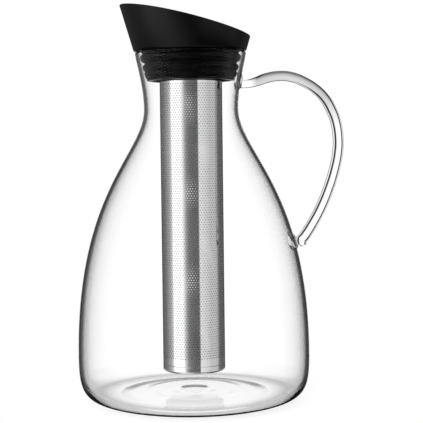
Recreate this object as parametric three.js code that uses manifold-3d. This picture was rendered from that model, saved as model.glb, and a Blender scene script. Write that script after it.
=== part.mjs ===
import * as THREE from 'three';
import { mergeVertices } from 'three/addons/utils/BufferGeometryUtils.js';
import Module from 'manifold-3d';

// Iced tea maker: a blown glass carafe with a welded handle, a slanted pouring collar on a
// ribbed silicone stopper, and a pierced steel infuser that hangs from the stopper.
// Millimetres, +Z up, the spout points to -X and the handle to +X.

const wasm = await Module();
wasm.setup();

// Clearances
const seatGap = 0.3;
const pinGap = 0.15;
const overrun = 2;

// Glass carafe
const glassHeight = 230.1;
const bellyRadius = 77.1;
const bellyHeight = 29.6;
const neckRadius = 31.4;
const neckBelowRim = 37.4;
const rimRadius = 36.9;
const glassWall = 2.4;
const floorThickness = 3;
const footRadius = 55;
const footWidth = 5;
const pushUpHeight = 4.6;
const bellRiseShare = 0.676;
const bellNeckShare = 0.177;
const neckFlareShare = 0.4;
const rimFlareShare = 0.2;
const footReachShare = 0.83;
const footRiseShare = 0.83;
const footBlendShare = 0.9;
const pushUpBlendShare = 0.17;
const carafeSides = 40;
const cornerSteps = 6;
const bellSteps = 11;
const flareSteps = 4;
const pushUpSteps = 4;

// Glass handle
const handleReach = 101.2;
const handleCrownBelowRim = 16.2;
const upperWeldBelowRim = 21.1;
const lowerWeldHeight = 101;
const handleRootRadius = 2.4;
const handleRodRadius = 2.9;
const handleGripRadius = 3.65;
const handleRootShare = 0.12;
const handleGripShares = [0.3, 0.5];
const weldRadius = 5.6;
const weldDepth = 3;
const weldLength = 3;
const handleSides = 10;
const handleSteps = 34;

// Pouring collar
const collarWall = 2.5;
const collarFlareAngle = 16.4;
const spoutTipRise = 31.4;
const backRimRise = 10;
const collarFootRound = 1.2;
const rimRound = 0.9;
const ledgeWidth = 1.9;
const ledgeThickness = 1.4;
const collarSides = 40;

// Stopper core
const deckThickness = 2;
const stopperDepth = 19.5;
const coreWall = 1.6;
const passageWidth = 5.5;
const retainerLip = 1.1;
const retainerThickness = 1;
const bossWall = 1.8;
const ribThickness = 1.6;
const ribDepth = 8;
const ribCount = 4;
const pourAngle = 130;
const pourEdgeWall = 0.6;
const ventRadius = 1.3;
const ventCount = 3;
const ventSpacingAngle = 24;
const coreSides = 32;
const slotSteps = 12;
const ventSteps = 6;

// Silicone stopper sleeve
const ribHeightShares = [0.26, 0.62, 0.87];
const ribBulge = 1.9;
const ribHalfHeight = 2.6;
const sleeveWall = 1.2;
const sleeveTaper = 0.8;
const sleeveSteps = 14;

// Drip flap
const flapRimGap = 3.5;
const flapThickness = 1.6;
const flapSealThickness = 1;
const flapSealInset = 1.4;
const flapSteps = 16;
const flapPinX = -4;
const flapPinRadius = 1;
const knuckleRadius = 2.3;
const knuckleWidth = 3;
const lugWidth = 2.5;
const hingeHalfSpan = 14.5;
const flapOpenAngle = 58;
const pinStandOut = 0.5;
const pinSides = 14;
const knuckleSteps = 6;

// Infuser
const infuserNeckGap = 8.2;
const infuserFloorGap = 11.1;
const infuserWall = 0.5;
const infuserGrip = 7.2;
const capHeight = 4.6;
const capWall = 0.6;
const capCornerRadius = 3;
const spigotHeight = 2.6;
const plainTopBand = 10;
const plainLowBand = 2.9;
const holeColumns = 12;
const holeRadius = 2.1;
const holeSides = 6;
const wideFacetShare = 0.667;
const sealRingRadius = 0.5;
const sealRingSides = 6;
const capSides = 28;

// Places worked out from the sizes above
const degrees = Math.PI / 180;
const flareSlope = Math.tan(collarFlareAngle * degrees);
const neckHeight = glassHeight - neckBelowRim;
const handleCrownHeight = glassHeight - handleCrownBelowRim;
const upperWeldHeight = glassHeight - upperWeldBelowRim;
const collarFootHeight = glassHeight + seatGap;
const collarFootRadius = rimRadius;
const spoutTipHeight = collarFootHeight + spoutTipRise;
const backRimHeight = collarFootHeight + backRimRise;
const holdRadius = collarFootRadius - collarWall;
const ledgeRadius = holdRadius - ledgeWidth;
const deckHeight = collarFootHeight + seatGap;
const deckTop = deckHeight + deckThickness;
const deckRadius = holdRadius - seatGap;
const infuserRadius = neckRadius - glassWall - infuserNeckGap;
const infuserBottom = pushUpHeight + floorThickness + infuserFloorGap;
const passageRadius = infuserRadius + passageWidth;
const coreRadius = passageRadius + coreWall;
const coreBottom = deckHeight - stopperDepth;
const infuserTop = coreBottom + infuserGrip;
const tubeBottom = infuserBottom + capHeight + seatGap;
const wideFacetAngle = (wideFacetShare * 2 * Math.PI) / holeColumns;
const tubeInnerReach = (infuserRadius - infuserWall) * Math.cos(wideFacetAngle / 2);
const bossRadius = tubeInnerReach - seatGap;
const flapRadius = ledgeRadius - flapRimGap;
const flapPinHeight = deckTop + knuckleRadius + 2 * seatGap;
const flapSealBottom = deckTop + seatGap;
const flapBottom = flapSealBottom + flapSealThickness + seatGap;
const flapEdgeX = flapPinX - knuckleRadius - 2 * seatGap;
const sealMiddle = coreBottom + infuserGrip / 2;
const sealCentreRadius = tubeInnerReach - pinGap - sealRingRadius;
const grooveRadius = sealCentreRadius - sealRingRadius - pinGap;
const grooveHalfHeight = sealRingRadius + pinGap;

function lookOf(color, roughness, metalness, extra = {}) {
  return new THREE.MeshStandardMaterial({ color, roughness, metalness, ...extra });
}

const clearGlass = () => lookOf(0xeef2f3, 0.04, 0, { transparent: true, opacity: 0.3 });
const blackPlastic = () => lookOf(0x1b1b1c, 0.42, 0);
const blackSilicone = () => lookOf(0x202021, 0.68, 0);
const greySteel = () => lookOf(0xb4b6b8, 0.3, 1);

// Geometry helpers

function toSolid(geometry) {
  const bare = geometry.clone();
  bare.deleteAttribute('normal');
  bare.deleteAttribute('uv');
  const merged = mergeVertices(bare);
  const corners = merged.index.array;
  const triangles = [];
  for (let i = 0; i < corners.length; i += 3) {
    const [a, b, c] = corners.slice(i, i + 3);
    if (a !== b && b !== c && c !== a) triangles.push(a, b, c);
  }
  return new wasm.Manifold(new wasm.Mesh({
    numProp: 3,
    vertProperties: merged.attributes.position.array,
    triVerts: new Uint32Array(triangles),
  }));
}

function toGeometry(solid) {
  const mesh = solid.getMesh();
  const geometry = new THREE.BufferGeometry();
  geometry.setAttribute('position', new THREE.BufferAttribute(mesh.vertProperties, 3));
  geometry.setIndex(new THREE.BufferAttribute(mesh.triVerts, 1));
  geometry.computeVertexNormals();
  return geometry;
}

function joined(geometries) {
  return geometries.map(toSolid).reduce((whole, next) => whole.add(next));
}

// A profile of [radius, height] pairs turned about the Z axis.
function revolve(profile, sides) {
  const points = profile.map(([radius, height]) => new THREE.Vector2(radius, height));
  return new THREE.LatheGeometry(points, sides).rotateX(Math.PI / 2);
}

// Skins a row of rings, each a list of points. A looped row closes on its first ring, and
// an open row gets a fan at each end.
function loft(rings, looped) {
  const count = rings[0].length;
  const points = rings.flat();
  const faces = [];
  const spans = looped ? rings.length : rings.length - 1;
  for (let i = 0; i < spans; i += 1) {
    const near = i * count;
    const far = ((i + 1) % rings.length) * count;
    for (let j = 0; j < count; j += 1) {
      const k = (j + 1) % count;
      faces.push(near + j, near + k, far + k, near + j, far + k, far + j);
    }
  }
  if (!looped) {
    const last = (rings.length - 1) * count;
    for (let j = 1; j < count - 1; j += 1) {
      faces.push(0, j + 1, j, last, last + j, last + j + 1);
    }
  }
  const geometry = new THREE.BufferGeometry().setFromPoints(points);
  geometry.setIndex(faces);
  geometry.computeVertexNormals();
  return geometry;
}

// A shape drawn in XZ and given a width along Y, from y = start.
function acrossY(shape, start, width) {
  const options = { depth: width, bevelEnabled: false, curveSegments: knuckleSteps };
  return new THREE.ExtrudeGeometry(shape, options).rotateX(Math.PI / 2).translate(0, start + width, 0);
}

// A shape drawn in XY and given a height along Z, from z = start.
function upZ(shape, start, height, curveSegments) {
  const options = { depth: height, bevelEnabled: false, curveSegments };
  return new THREE.ExtrudeGeometry(shape, options).translate(0, 0, start);
}

function boxBetween(low, high) {
  const size = high.map((value, i) => value - low[i]);
  const middle = high.map((value, i) => (value + low[i]) / 2);
  return new THREE.BoxGeometry(...size).translate(...middle);
}

function curvePoints(corners, steps) {
  const places = corners.map(([radius, height]) => new THREE.Vector2(radius, height));
  return new THREE.CubicBezierCurve(...places).getPoints(steps).map(({ x, y }) => [x, y]);
}

// Carafe

// The flared neck's outline from the waist to the rim, set in by `inset`.
function flareOutline(inset, rimTop) {
  const neck = neckRadius - inset;
  const rim = rimRadius - inset;
  const rise = rimTop - neckHeight;
  return curvePoints([
    [neck, neckHeight],
    [neck, neckHeight + neckFlareShare * rise],
    [rim - rimFlareShare * (rim - neck), rimTop - rimFlareShare * rise],
    [rim, rimTop],
  ], flareSteps);
}

// The radius of that outline at one height.
function flareRadiusAt(height, inset) {
  const outline = flareOutline(inset, glassHeight);
  const above = Math.max(1, outline.findIndex(([, z]) => z >= height));
  const [lowRadius, low] = outline[above - 1];
  const [highRadius, high] = outline[above];
  return lowRadius + ((highRadius - lowRadius) * (height - low)) / (high - low);
}

// The bell's outline from the foot to the rim, set in from the outer face by `inset` and
// starting at the height `floor`.
function bellOutline(inset, floor, rimTop) {
  const foot = footRadius;
  const belly = bellyRadius - inset;
  const neck = neckRadius - inset;
  const bellyRise = bellyHeight - floor;
  const bellRise = neckHeight - bellyHeight;
  const corner = curvePoints([
    [foot, floor],
    [foot + footReachShare * (belly - foot), floor],
    [belly, bellyHeight - footRiseShare * bellyRise],
    [belly, bellyHeight],
  ], cornerSteps);
  const bell = curvePoints([
    [belly, bellyHeight],
    [belly, bellyHeight + bellRiseShare * bellRise],
    [neck, neckHeight - bellNeckShare * bellRise],
    [neck, neckHeight],
  ], bellSteps);
  return [...corner, ...bell.slice(1), ...flareOutline(inset, rimTop).slice(1)];
}

function carafeGlass() {
  const lipRadius = glassWall / 2;
  const rimCentreHeight = glassHeight - lipRadius;
  const outer = bellOutline(0, 0, rimCentreHeight);
  const inner = bellOutline(glassWall, floorThickness, rimCentreHeight);
  const footInner = footRadius - footWidth;
  const underside = curvePoints([
    [0, pushUpHeight],
    [footInner / 2, pushUpHeight],
    [footInner * footBlendShare, pushUpHeight * pushUpBlendShare],
    [footInner, 0],
  ], pushUpSteps);
  const floor = curvePoints([
    [footRadius, floorThickness],
    [footInner * footBlendShare, floorThickness],
    [footInner / 2, pushUpHeight + floorThickness],
    [0, pushUpHeight + floorThickness],
  ], pushUpSteps);
  const lip = [1, 2, 3].map((step) => {
    const angle = (step / 4) * Math.PI;
    const centre = rimRadius - lipRadius;
    return [centre + lipRadius * Math.cos(angle), rimCentreHeight + lipRadius * Math.sin(angle)];
  });
  const profile = [...underside, ...outer, ...lip, ...inner.reverse(), ...floor.slice(1)];
  return revolve(profile, carafeSides);
}

// Everything inside the carafe's outer face, grown by the seat gap, to trim the handle.
function carafeEnvelope() {
  const outline = bellOutline(-seatGap, 0, glassHeight);
  return revolve([[0, 0], ...outline, [0, glassHeight]], carafeSides);
}

// Handle

// The rod's centre line: out from the upper weld, over the top, and down to the lower weld.
// Each place is a share of the reach past the neck and of the drop between crown and weld.
const handlePathShares = [
  [-0.03, 0.957], [0.09, 0.955], [0.18, 0.967], [0.28, 0.987], [0.43, 1.0], [0.55, 0.99],
  [0.66, 0.963], [0.77, 0.922], [0.87, 0.862], [0.93, 0.8], [0.975, 0.73], [1.0, 0.63],
  [0.995, 0.55], [0.96, 0.447], [0.9, 0.335], [0.81, 0.21], [0.71, 0.105], [0.62, 0.02],
  [0.54, -0.035],
];

// The rod is slimmest beside the upper weld and fullest where the hand holds it.
function rodRadiusAt(share) {
  const rooted = THREE.MathUtils.smoothstep(share, 0, handleRootShare);
  const gripped = THREE.MathUtils.smoothstep(share, ...handleGripShares);
  return handleRootRadius
    + (handleRodRadius - handleRootRadius) * rooted
    + (handleGripRadius - handleRodRadius) * gripped;
}

function handleGlass() {
  const start = neckRadius;
  const reach = handleReach - handleGripRadius - neckRadius;
  const drop = handleCrownHeight - lowerWeldHeight;
  const places = handlePathShares.map(([out, up]) => (
    new THREE.Vector3(start + out * reach, 0, lowerWeldHeight + up * drop)
  ));
  places[0].z = upperWeldHeight;
  const path = new THREE.CatmullRomCurve3(places, false, 'centripetal');
  const length = path.getLength();
  const across = new THREE.Vector3(0, 1, 0);
  // The rings lie closer together towards the welds, where the rod swells.
  const rings = Array.from({ length: handleSteps + 1 }, (_, i) => {
    const share = (1 - Math.cos((i / handleSteps) * Math.PI)) / 2;
    const centre = path.getPointAt(share);
    const side = new THREE.Vector3().crossVectors(across, path.getTangentAt(share));
    const fromWeld = Math.max(0, Math.min(share, 1 - share) * length - weldDepth);
    const swell = Math.exp(-((fromWeld / weldLength) ** 2));
    const rod = rodRadiusAt(share);
    const radius = rod + (weldRadius - rod) * swell;
    return Array.from({ length: handleSides }, (__, j) => {
      const angle = (j / handleSides) * 2 * Math.PI;
      return centre.clone()
        .addScaledVector(side, radius * Math.cos(angle))
        .addScaledVector(across, radius * Math.sin(angle));
    });
  });
  return toGeometry(toSolid(loft(rings, false)).subtract(toSolid(carafeEnvelope())));
}

// Pouring collar

// The rim is a flat cut that falls from the spout's tip to the back. This gives the height
// at which a wall, set in by `inset`, meets that cut in the direction `angle`.
function rimHeight(angle, inset) {
  const wallRadius = (height) => (
    collarFootRadius - inset + flareSlope * (height - collarFootHeight)
  );
  const tipX = -(collarFootRadius + flareSlope * (spoutTipHeight - collarFootHeight));
  const backX = collarFootRadius + flareSlope * (backRimHeight - collarFootHeight);
  const fall = (backRimHeight - spoutTipHeight) / (backX - tipX);
  const middle = spoutTipHeight - fall * tipX;
  const along = fall * Math.cos(angle);
  return (middle + along * wallRadius(0)) / (1 - along * flareSlope);
}

function collarRing(inset, heightAt) {
  return Array.from({ length: collarSides }, (_, j) => {
    const angle = (j / collarSides) * 2 * Math.PI;
    const height = heightAt(angle);
    const radius = collarFootRadius - inset + flareSlope * (height - collarFootHeight);
    return new THREE.Vector3(radius * Math.cos(angle), radius * Math.sin(angle), height);
  });
}

function plainRing(radius, height) {
  return Array.from({ length: collarSides }, (_, j) => {
    const angle = (j / collarSides) * 2 * Math.PI;
    return new THREE.Vector3(radius * Math.cos(angle), radius * Math.sin(angle), height);
  });
}

function pouringCollar() {
  const foot = collarFootHeight;
  const ledgeLow = deckTop + seatGap;
  const ledgeHigh = ledgeLow + ledgeThickness;
  const rings = [
    plainRing(holdRadius, foot),
    plainRing(collarFootRadius - collarFootRound, foot),
    collarRing(collarFootRound / 4, () => foot + collarFootRound / 4),
    collarRing(0, () => foot + collarFootRound),
    collarRing(0, (angle) => rimHeight(angle, 0) - rimRound),
    collarRing(rimRound / 2, (angle) => rimHeight(angle, rimRound / 2)),
    collarRing(collarWall - rimRound / 2, (angle) => rimHeight(angle, collarWall - rimRound / 2)),
    collarRing(collarWall, (angle) => rimHeight(angle, collarWall) - rimRound),
    collarRing(collarWall, () => ledgeHigh),
    plainRing(ledgeRadius, ledgeHigh),
    plainRing(ledgeRadius, ledgeLow),
    plainRing(holdRadius, ledgeLow),
  ];
  return loft(rings, true);
}

// Stopper core

// A sector of a flat ring, centred on the spout's side when `middle` is half a turn.
function sector(innerRadius, outerRadius, middle, spread) {
  const from = middle - spread / 2;
  const to = middle + spread / 2;
  const shape = new THREE.Shape();
  shape.absarc(0, 0, outerRadius, from, to, false);
  shape.absarc(0, 0, innerRadius, to, from, true);
  shape.closePath();
  return shape;
}

function coreBody() {
  const lipRadius = coreRadius + retainerLip;
  const lipTop = coreBottom + retainerThickness;
  return revolve([
    [0, deckHeight],
    [bossRadius - bossWall, deckHeight],
    [bossRadius - bossWall, coreBottom],
    [bossRadius, coreBottom],
    [bossRadius, sealMiddle - grooveHalfHeight],
    [grooveRadius, sealMiddle - grooveHalfHeight],
    [grooveRadius, sealMiddle + grooveHalfHeight],
    [bossRadius, sealMiddle + grooveHalfHeight],
    [bossRadius, deckHeight],
    [passageRadius, deckHeight],
    [passageRadius, coreBottom],
    [lipRadius, coreBottom],
    [lipRadius, lipTop],
    [coreRadius, lipTop],
    [coreRadius, deckHeight],
    [deckRadius, deckHeight],
    [deckRadius, deckTop],
    [0, deckTop],
  ], coreSides);
}

function stiffeners() {
  const bottom = deckHeight - ribDepth;
  return Array.from({ length: ribCount }, (_, i) => {
    const angle = ((i + 0.5) / ribCount) * 2 * Math.PI;
    const low = [bossRadius - bossWall / 2, -ribThickness / 2, bottom];
    const high = [passageRadius + coreWall / 2, ribThickness / 2, deckHeight + deckThickness / 2];
    return boxBetween(low, high).rotateZ(angle);
  });
}

function hingeLug(y) {
  const shape = new THREE.Shape();
  shape.moveTo(flapPinX - knuckleRadius, deckTop - deckThickness / 2);
  shape.lineTo(flapPinX + knuckleRadius, deckTop - deckThickness / 2);
  shape.lineTo(flapPinX + knuckleRadius, flapPinHeight);
  shape.absarc(flapPinX, flapPinHeight, knuckleRadius, 0, Math.PI, false);
  shape.closePath();
  return acrossY(shape, y, lugWidth);
}

function pinCylinder(radius, halfLength) {
  const rod = new THREE.CylinderGeometry(radius, radius, 2 * halfLength, pinSides);
  return rod.translate(flapPinX, 0, flapPinHeight);
}

function hingeBore() {
  return toSolid(pinCylinder(flapPinRadius + pinGap, hingeHalfSpan + overrun));
}

function stopperCore() {
  const solid = joined([
    coreBody(),
    ...stiffeners(),
    hingeLug(hingeHalfSpan - lugWidth),
    hingeLug(-hingeHalfSpan),
  ]);
  const low = deckHeight - overrun;
  const depth = deckThickness + 2 * overrun;
  const slot = sector(
    bossRadius + pourEdgeWall,
    passageRadius - pourEdgeWall,
    Math.PI,
    pourAngle * degrees,
  );
  const vents = Array.from({ length: ventCount }, (_, i) => {
    const angle = (i - (ventCount - 1) / 2) * ventSpacingAngle * degrees;
    const hole = new THREE.Shape();
    const reach = (bossRadius + passageRadius) / 2;
    hole.absarc(reach * Math.cos(angle), reach * Math.sin(angle), ventRadius, 0, 2 * Math.PI);
    return toSolid(upZ(hole, low, depth, ventSteps));
  });
  const pierced = vents.reduce((rest, vent) => rest.subtract(vent), solid);
  return toGeometry(pierced.subtract(toSolid(upZ(slot, low, depth, slotSteps))).subtract(hingeBore()));
}

// Silicone stopper sleeve: its outer face follows the neck and swells into ribs.
function stopperSleeve() {
  const inner = coreRadius + seatGap;
  const bottom = coreBottom + retainerThickness + seatGap;
  const top = deckHeight - seatGap;
  const height = top - bottom;
  const face = Array.from({ length: sleeveSteps + 1 }, (_, i) => {
    const level = i / sleeveSteps;
    const z = top - level * height;
    const wall = flareRadiusAt(z, glassWall + seatGap) - sleeveTaper * level ** 2;
    const nearest = Math.min(...ribHeightShares.map((share) => Math.abs(share - level) * height));
    const bulge = Math.max(0, 1 - (nearest / ribHalfHeight) ** 2);
    return [Math.max(inner + sleeveWall, wall - ribBulge + ribBulge * Math.sqrt(bulge)), z];
  });
  return revolve([[inner, bottom], ...face.reverse(), [inner, top], [inner, bottom]], coreSides);
}

// Drip flap

function flapOutline(radius, edgeX) {
  const half = Math.acos(-edgeX / radius);
  const shape = new THREE.Shape();
  shape.absarc(0, 0, radius, Math.PI - half, Math.PI + half, false);
  shape.closePath();
  return shape;
}

// The flap has two knuckles. The heel behind each one meets the deck at the open angle and
// stops the flap there.
function pourFlap() {
  const plate = upZ(flapOutline(flapRadius, flapEdgeX), flapBottom, flapThickness, flapSteps);
  const heelReach = (flapPinHeight - deckTop - seatGap) / Math.sin(flapOpenAngle * degrees);
  const inner = hingeHalfSpan - lugWidth - seatGap - knuckleWidth;
  const knuckles = [inner, -inner - knuckleWidth].flatMap((y) => {
    const far = y + knuckleWidth;
    const round = new THREE.Shape();
    round.absarc(flapPinX, flapPinHeight, knuckleRadius, 0, 2 * Math.PI);
    const armFrom = [flapEdgeX - overrun, y, flapBottom];
    const armTo = [flapPinX, far, flapBottom + flapThickness];
    const heelFrom = [flapPinX, y, flapPinHeight];
    const heelTo = [flapPinX + heelReach, far, flapPinHeight + flapThickness];
    return [
      acrossY(round, y, knuckleWidth),
      boxBetween(armFrom, armTo),
      boxBetween(heelFrom, heelTo),
    ];
  });
  return toGeometry(joined([plate, ...knuckles]).subtract(hingeBore()));
}

function flapSeal() {
  const edge = flapEdgeX - flapSealInset;
  const outline = flapOutline(flapRadius - flapSealInset, edge);
  return upZ(outline, flapSealBottom, flapSealThickness, flapSteps);
}

// Infuser

// The tube's outline in plan: under each column of holes lies one wide flat.
function facetedRing(radius) {
  const column = (2 * Math.PI) / holeColumns;
  const points = [];
  for (let i = 0; i < holeColumns; i += 1) {
    for (const side of [-0.5, 0.5]) {
      const angle = i * column + side * wideFacetAngle;
      points.push(new THREE.Vector2(radius * Math.cos(angle), radius * Math.sin(angle)));
    }
  }
  return points;
}

// Staggered rows of through holes. The rows' pitch follows from the columns' spacing, so
// that each hole has six neighbours at one distance.
function tubeHoles() {
  const low = tubeBottom + plainLowBand;
  const high = infuserTop - plainTopBand;
  const column = (2 * Math.PI) / holeColumns;
  const idealPitch = (2 * column * infuserRadius) / Math.sqrt(3);
  const rows = Math.floor((high - low) / idealPitch);
  const pitch = (high - low) / (rows + 0.5);
  const holes = [];
  for (let i = 0; i < holeColumns; i += 1) {
    for (let k = 0; k < rows; k += 1) {
      const z = low + (k + 0.5 + (i % 2) / 2) * pitch;
      const drill = new THREE.CylinderGeometry(holeRadius, holeRadius, 2 * overrun, holeSides);
      holes.push(drill.rotateZ(Math.PI / 2).translate(infuserRadius, 0, z).rotateZ(i * column));
    }
  }
  return holes;
}

function infuserTube() {
  const sheet = new THREE.Shape(facetedRing(infuserRadius));
  sheet.holes.push(new THREE.Path(facetedRing(infuserRadius - infuserWall)));
  const tube = toSolid(upZ(sheet, tubeBottom, infuserTop - tubeBottom, 1));
  return toGeometry(wasm.Manifold.difference([tube, ...tubeHoles().map(toSolid)]));
}

function infuserEndCap() {
  const top = infuserBottom + capHeight;
  const spigot = tubeInnerReach - pinGap;
  const cornerAt = (round, edge, bottom) => [0, 1, 2, 3, 4].map((step) => {
    const angle = (step / 4) * (Math.PI / 2);
    return [edge - round + round * Math.sin(angle), bottom + round - round * Math.cos(angle)];
  });
  const outer = cornerAt(capCornerRadius, infuserRadius, infuserBottom);
  const inner = cornerAt(capCornerRadius - capWall, spigot - capWall, infuserBottom + capWall);
  return revolve([
    [0, infuserBottom],
    ...outer,
    [infuserRadius, top],
    [spigot, top],
    [spigot, top + spigotHeight],
    [spigot - capWall, top + spigotHeight],
    ...inner.reverse(),
    [0, infuserBottom + capWall],
  ], capSides);
}

function sealRing() {
  const section = Array.from({ length: sealRingSides + 1 }, (_, i) => {
    const angle = ((i % sealRingSides) / sealRingSides) * 2 * Math.PI;
    const radius = sealCentreRadius + sealRingRadius * Math.cos(angle);
    return [radius, sealMiddle + sealRingRadius * Math.sin(angle)];
  });
  return revolve(section, coreSides);
}

// Assembly

function addPiece(parent, name, geometry, material) {
  const mesh = new THREE.Mesh(geometry, material);
  mesh.name = name;
  parent.add(mesh);
}

const maker = new THREE.Group();
const carafe = new THREE.Group();
const lid = new THREE.Group();
const flap = new THREE.Group();
const infuser = new THREE.Group();
maker.add(carafe, lid);
lid.add(flap, infuser);

addPiece(carafe, 'carafe_glass', carafeGlass(), clearGlass());
addPiece(carafe, 'handle_glass', handleGlass(), clearGlass());
addPiece(lid, 'pouring_collar', pouringCollar(), blackPlastic());
addPiece(lid, 'stopper_core', stopperCore(), blackPlastic());
addPiece(lid, 'stopper_sleeve', stopperSleeve(), blackSilicone());
addPiece(lid, 'infuser_seal_ring', sealRing(), blackSilicone());
addPiece(lid, 'flap_hinge_pin', pinCylinder(flapPinRadius, hingeHalfSpan + pinStandOut), greySteel());
addPiece(flap, 'pour_flap', pourFlap(), blackPlastic());
addPiece(flap, 'flap_seal', flapSeal(), blackSilicone());
addPiece(infuser, 'infuser_tube', infuserTube(), greySteel());
addPiece(infuser, 'infuser_end_cap', infuserEndCap(), greySteel());

// The origin lies on the table under the middle of the whole outline.
const whole = new THREE.Box3().setFromObject(maker);
maker.position.x = -(whole.min.x + whole.max.x) / 2;

export default maker;
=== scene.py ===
import math

import bmesh
import bpy
from mathutils import Matrix, Vector


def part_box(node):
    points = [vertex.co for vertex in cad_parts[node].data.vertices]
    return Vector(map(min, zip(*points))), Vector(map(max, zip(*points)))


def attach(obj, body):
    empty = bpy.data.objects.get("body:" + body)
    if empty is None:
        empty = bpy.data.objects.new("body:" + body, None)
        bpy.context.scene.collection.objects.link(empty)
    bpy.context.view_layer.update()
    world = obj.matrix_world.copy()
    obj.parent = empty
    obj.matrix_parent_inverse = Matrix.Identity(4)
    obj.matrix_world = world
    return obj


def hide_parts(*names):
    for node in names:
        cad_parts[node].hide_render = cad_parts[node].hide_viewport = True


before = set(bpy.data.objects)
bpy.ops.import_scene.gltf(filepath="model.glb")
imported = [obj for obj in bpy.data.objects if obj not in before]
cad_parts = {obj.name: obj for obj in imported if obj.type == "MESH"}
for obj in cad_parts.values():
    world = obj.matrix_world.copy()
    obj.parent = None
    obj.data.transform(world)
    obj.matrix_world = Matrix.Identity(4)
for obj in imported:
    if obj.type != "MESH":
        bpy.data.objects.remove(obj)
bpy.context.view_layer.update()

bl_info = {
    "name": "Iced tea maker",
    "version": (1, 0, 0),
    "blender": (4, 5, 0),
    "location": "View3D > Sidebar > Tea maker",
    "description": "Dresses the packed iced tea maker: glass, lid, stopper, flap and infuser",
    "category": "Object",
}

# Places read from the frame, in metres

GLASS_LOW, GLASS_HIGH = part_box("carafe_glass")
COLLAR_LOW, COLLAR_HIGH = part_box("pouring_collar")
SLEEVE_LOW, SLEEVE_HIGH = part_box("stopper_sleeve")
TUBE_LOW, TUBE_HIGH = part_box("infuser_tube")
CAP_LOW, CAP_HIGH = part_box("infuser_end_cap")
PIN_LOW, PIN_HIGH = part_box("flap_hinge_pin")
FLAP_LOW, FLAP_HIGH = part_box("pour_flap")
SEAL_LOW, SEAL_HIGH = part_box("flap_seal")

AXIS_X = (GLASS_LOW.x + GLASS_HIGH.x) / 2
BELLY_RADIUS = (GLASS_HIGH.x - GLASS_LOW.x) / 2
GLASS_HEIGHT = GLASS_HIGH.z
HANDLE_END_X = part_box("handle_glass")[1].x
CORE_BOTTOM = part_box("stopper_core")[0].z
INFUSER_RADIUS = (CAP_HIGH.x - CAP_LOW.x) / 2
PIN_X = (PIN_LOW.x + PIN_HIGH.x) / 2
PIN_Z = (PIN_LOW.z + PIN_HIGH.z) / 2
PIN_RADIUS = (PIN_HIGH.z - PIN_LOW.z) / 2

# The gap between pieces that touch on the real object
SEAT_GAP = 0.0003

# The reference picture's frame, in its own pixels

IMAGE_SIDE = 423
FOCAL_PX = 1147
HORIZON_PX = 150
BASE_PX = 396.0
AXIS_PX = 191.7

TURN = 2 * math.pi
CREASE = 35


# Property groups


def linear(hex_colour):
    """Turns an sRGB hex colour into linear RGBA."""
    value = hex_colour.lstrip("#")
    channels = [int(value[i:i + 2], 16) / 255 for i in (0, 2, 4)]
    toned = [c / 12.92 if c <= 0.04045 else ((c + 0.055) / 1.055) ** 2.4 for c in channels]
    return (*toned, 1.0)


def metres(name, description, default):
    """A size in metres, as a property."""
    return bpy.props.FloatProperty(
        name=name, description=description, default=default, unit="LENGTH"
    )


def degrees(name, description, default):
    """An angle in degrees, as a property."""
    return bpy.props.FloatProperty(
        name=name, description=description, default=math.radians(default), subtype="ANGLE"
    )


def colour(name, description, default):
    """A hex colour, as a property."""
    return bpy.props.FloatVectorProperty(
        name=name, description=description, default=linear(default), subtype="COLOR", size=4,
        min=0.0, max=1.0,
    )


class GlassSizes(bpy.types.PropertyGroup):
    neck_radius: metres("Neck radius", "Outer radius at the waist", 0.0314)
    neck_drop: metres("Waist below rim", "From the rim down to the waist", 0.0374)
    rim_radius: metres("Rim radius", "Outer radius of the rim", 0.0369)
    belly_height: metres("Belly height", "Height of the widest place", 0.0296)
    wall: metres("Wall", "Thickness of the blown wall", 0.0024)
    floor: metres("Floor", "Thickness of the floor", 0.003)
    foot_radius: metres("Foot radius", "Outer radius of the foot ring", 0.055)
    foot_width: metres("Foot width", "Width of the foot ring", 0.005)
    push_up: metres("Push-up", "Rise of the floor's middle", 0.0032)
    root_radius: metres("Root radius", "Handle rod beside the upper weld", 0.0024)
    rod_radius: metres("Rod radius", "Handle rod over the crown", 0.0034)
    grip_radius: metres("Grip radius", "Handle rod where the hand holds it", 0.00365)
    weld_swell: metres("Weld swell", "How far the rod thickens where it is melted on", 0.0005)
    pad_depth: metres("Pad depth", "Half the depth of the melted lens in the wall", 0.0021)
    pad_width: metres("Pad width", "Half the width of the melted lens", 0.0054)
    pad_height: metres("Pad height", "Half the height of the melted lens", 0.006)
    pontil_radius: metres("Pontil radius", "Scar under the floor's middle", 0.0085)
    pontil_depth: metres("Pontil depth", "Depth of that scar", 0.0007)


class LidSizes(bpy.types.PropertyGroup):
    collar_wall: metres("Collar wall", "Thickness of the funnel", 0.0025)
    flare: degrees("Flare", "Lean of the funnel's wall", 16.4)
    back_rise: metres("Back rim rise", "Height of the rim at the handle's side", 0.010)
    ledge_width: metres("Ledge width", "How far the ledge over the deck reaches in", 0.0019)
    deck: metres("Deck", "Thickness of the stopper's deck", 0.002)
    core_wall: metres("Core wall", "Thickness of the stopper's ring wall", 0.0016)
    passage: metres("Passage", "Gap for the tea round the infuser", 0.0055)
    rib_bulge: metres("Rib bulge", "How far the silicone ribs stand out", 0.0019)


class InfuserSizes(bpy.types.PropertyGroup):
    columns: bpy.props.IntProperty(
        name="Columns", description="Holes round the tube in one row", default=72, min=8
    )
    hole_share: bpy.props.FloatProperty(
        name="Hole share", description="Hole width as a share of the pitch", default=0.45,
        min=0.1, max=0.8,
    )
    sheet: metres("Sheet", "Thickness of the steel sheet", 0.0005)
    high_band: metres("High band", "Plain band at the tube's mouth", 0.009)
    low_band: metres("Low band", "Plain band above the end cap", 0.0044)


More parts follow.
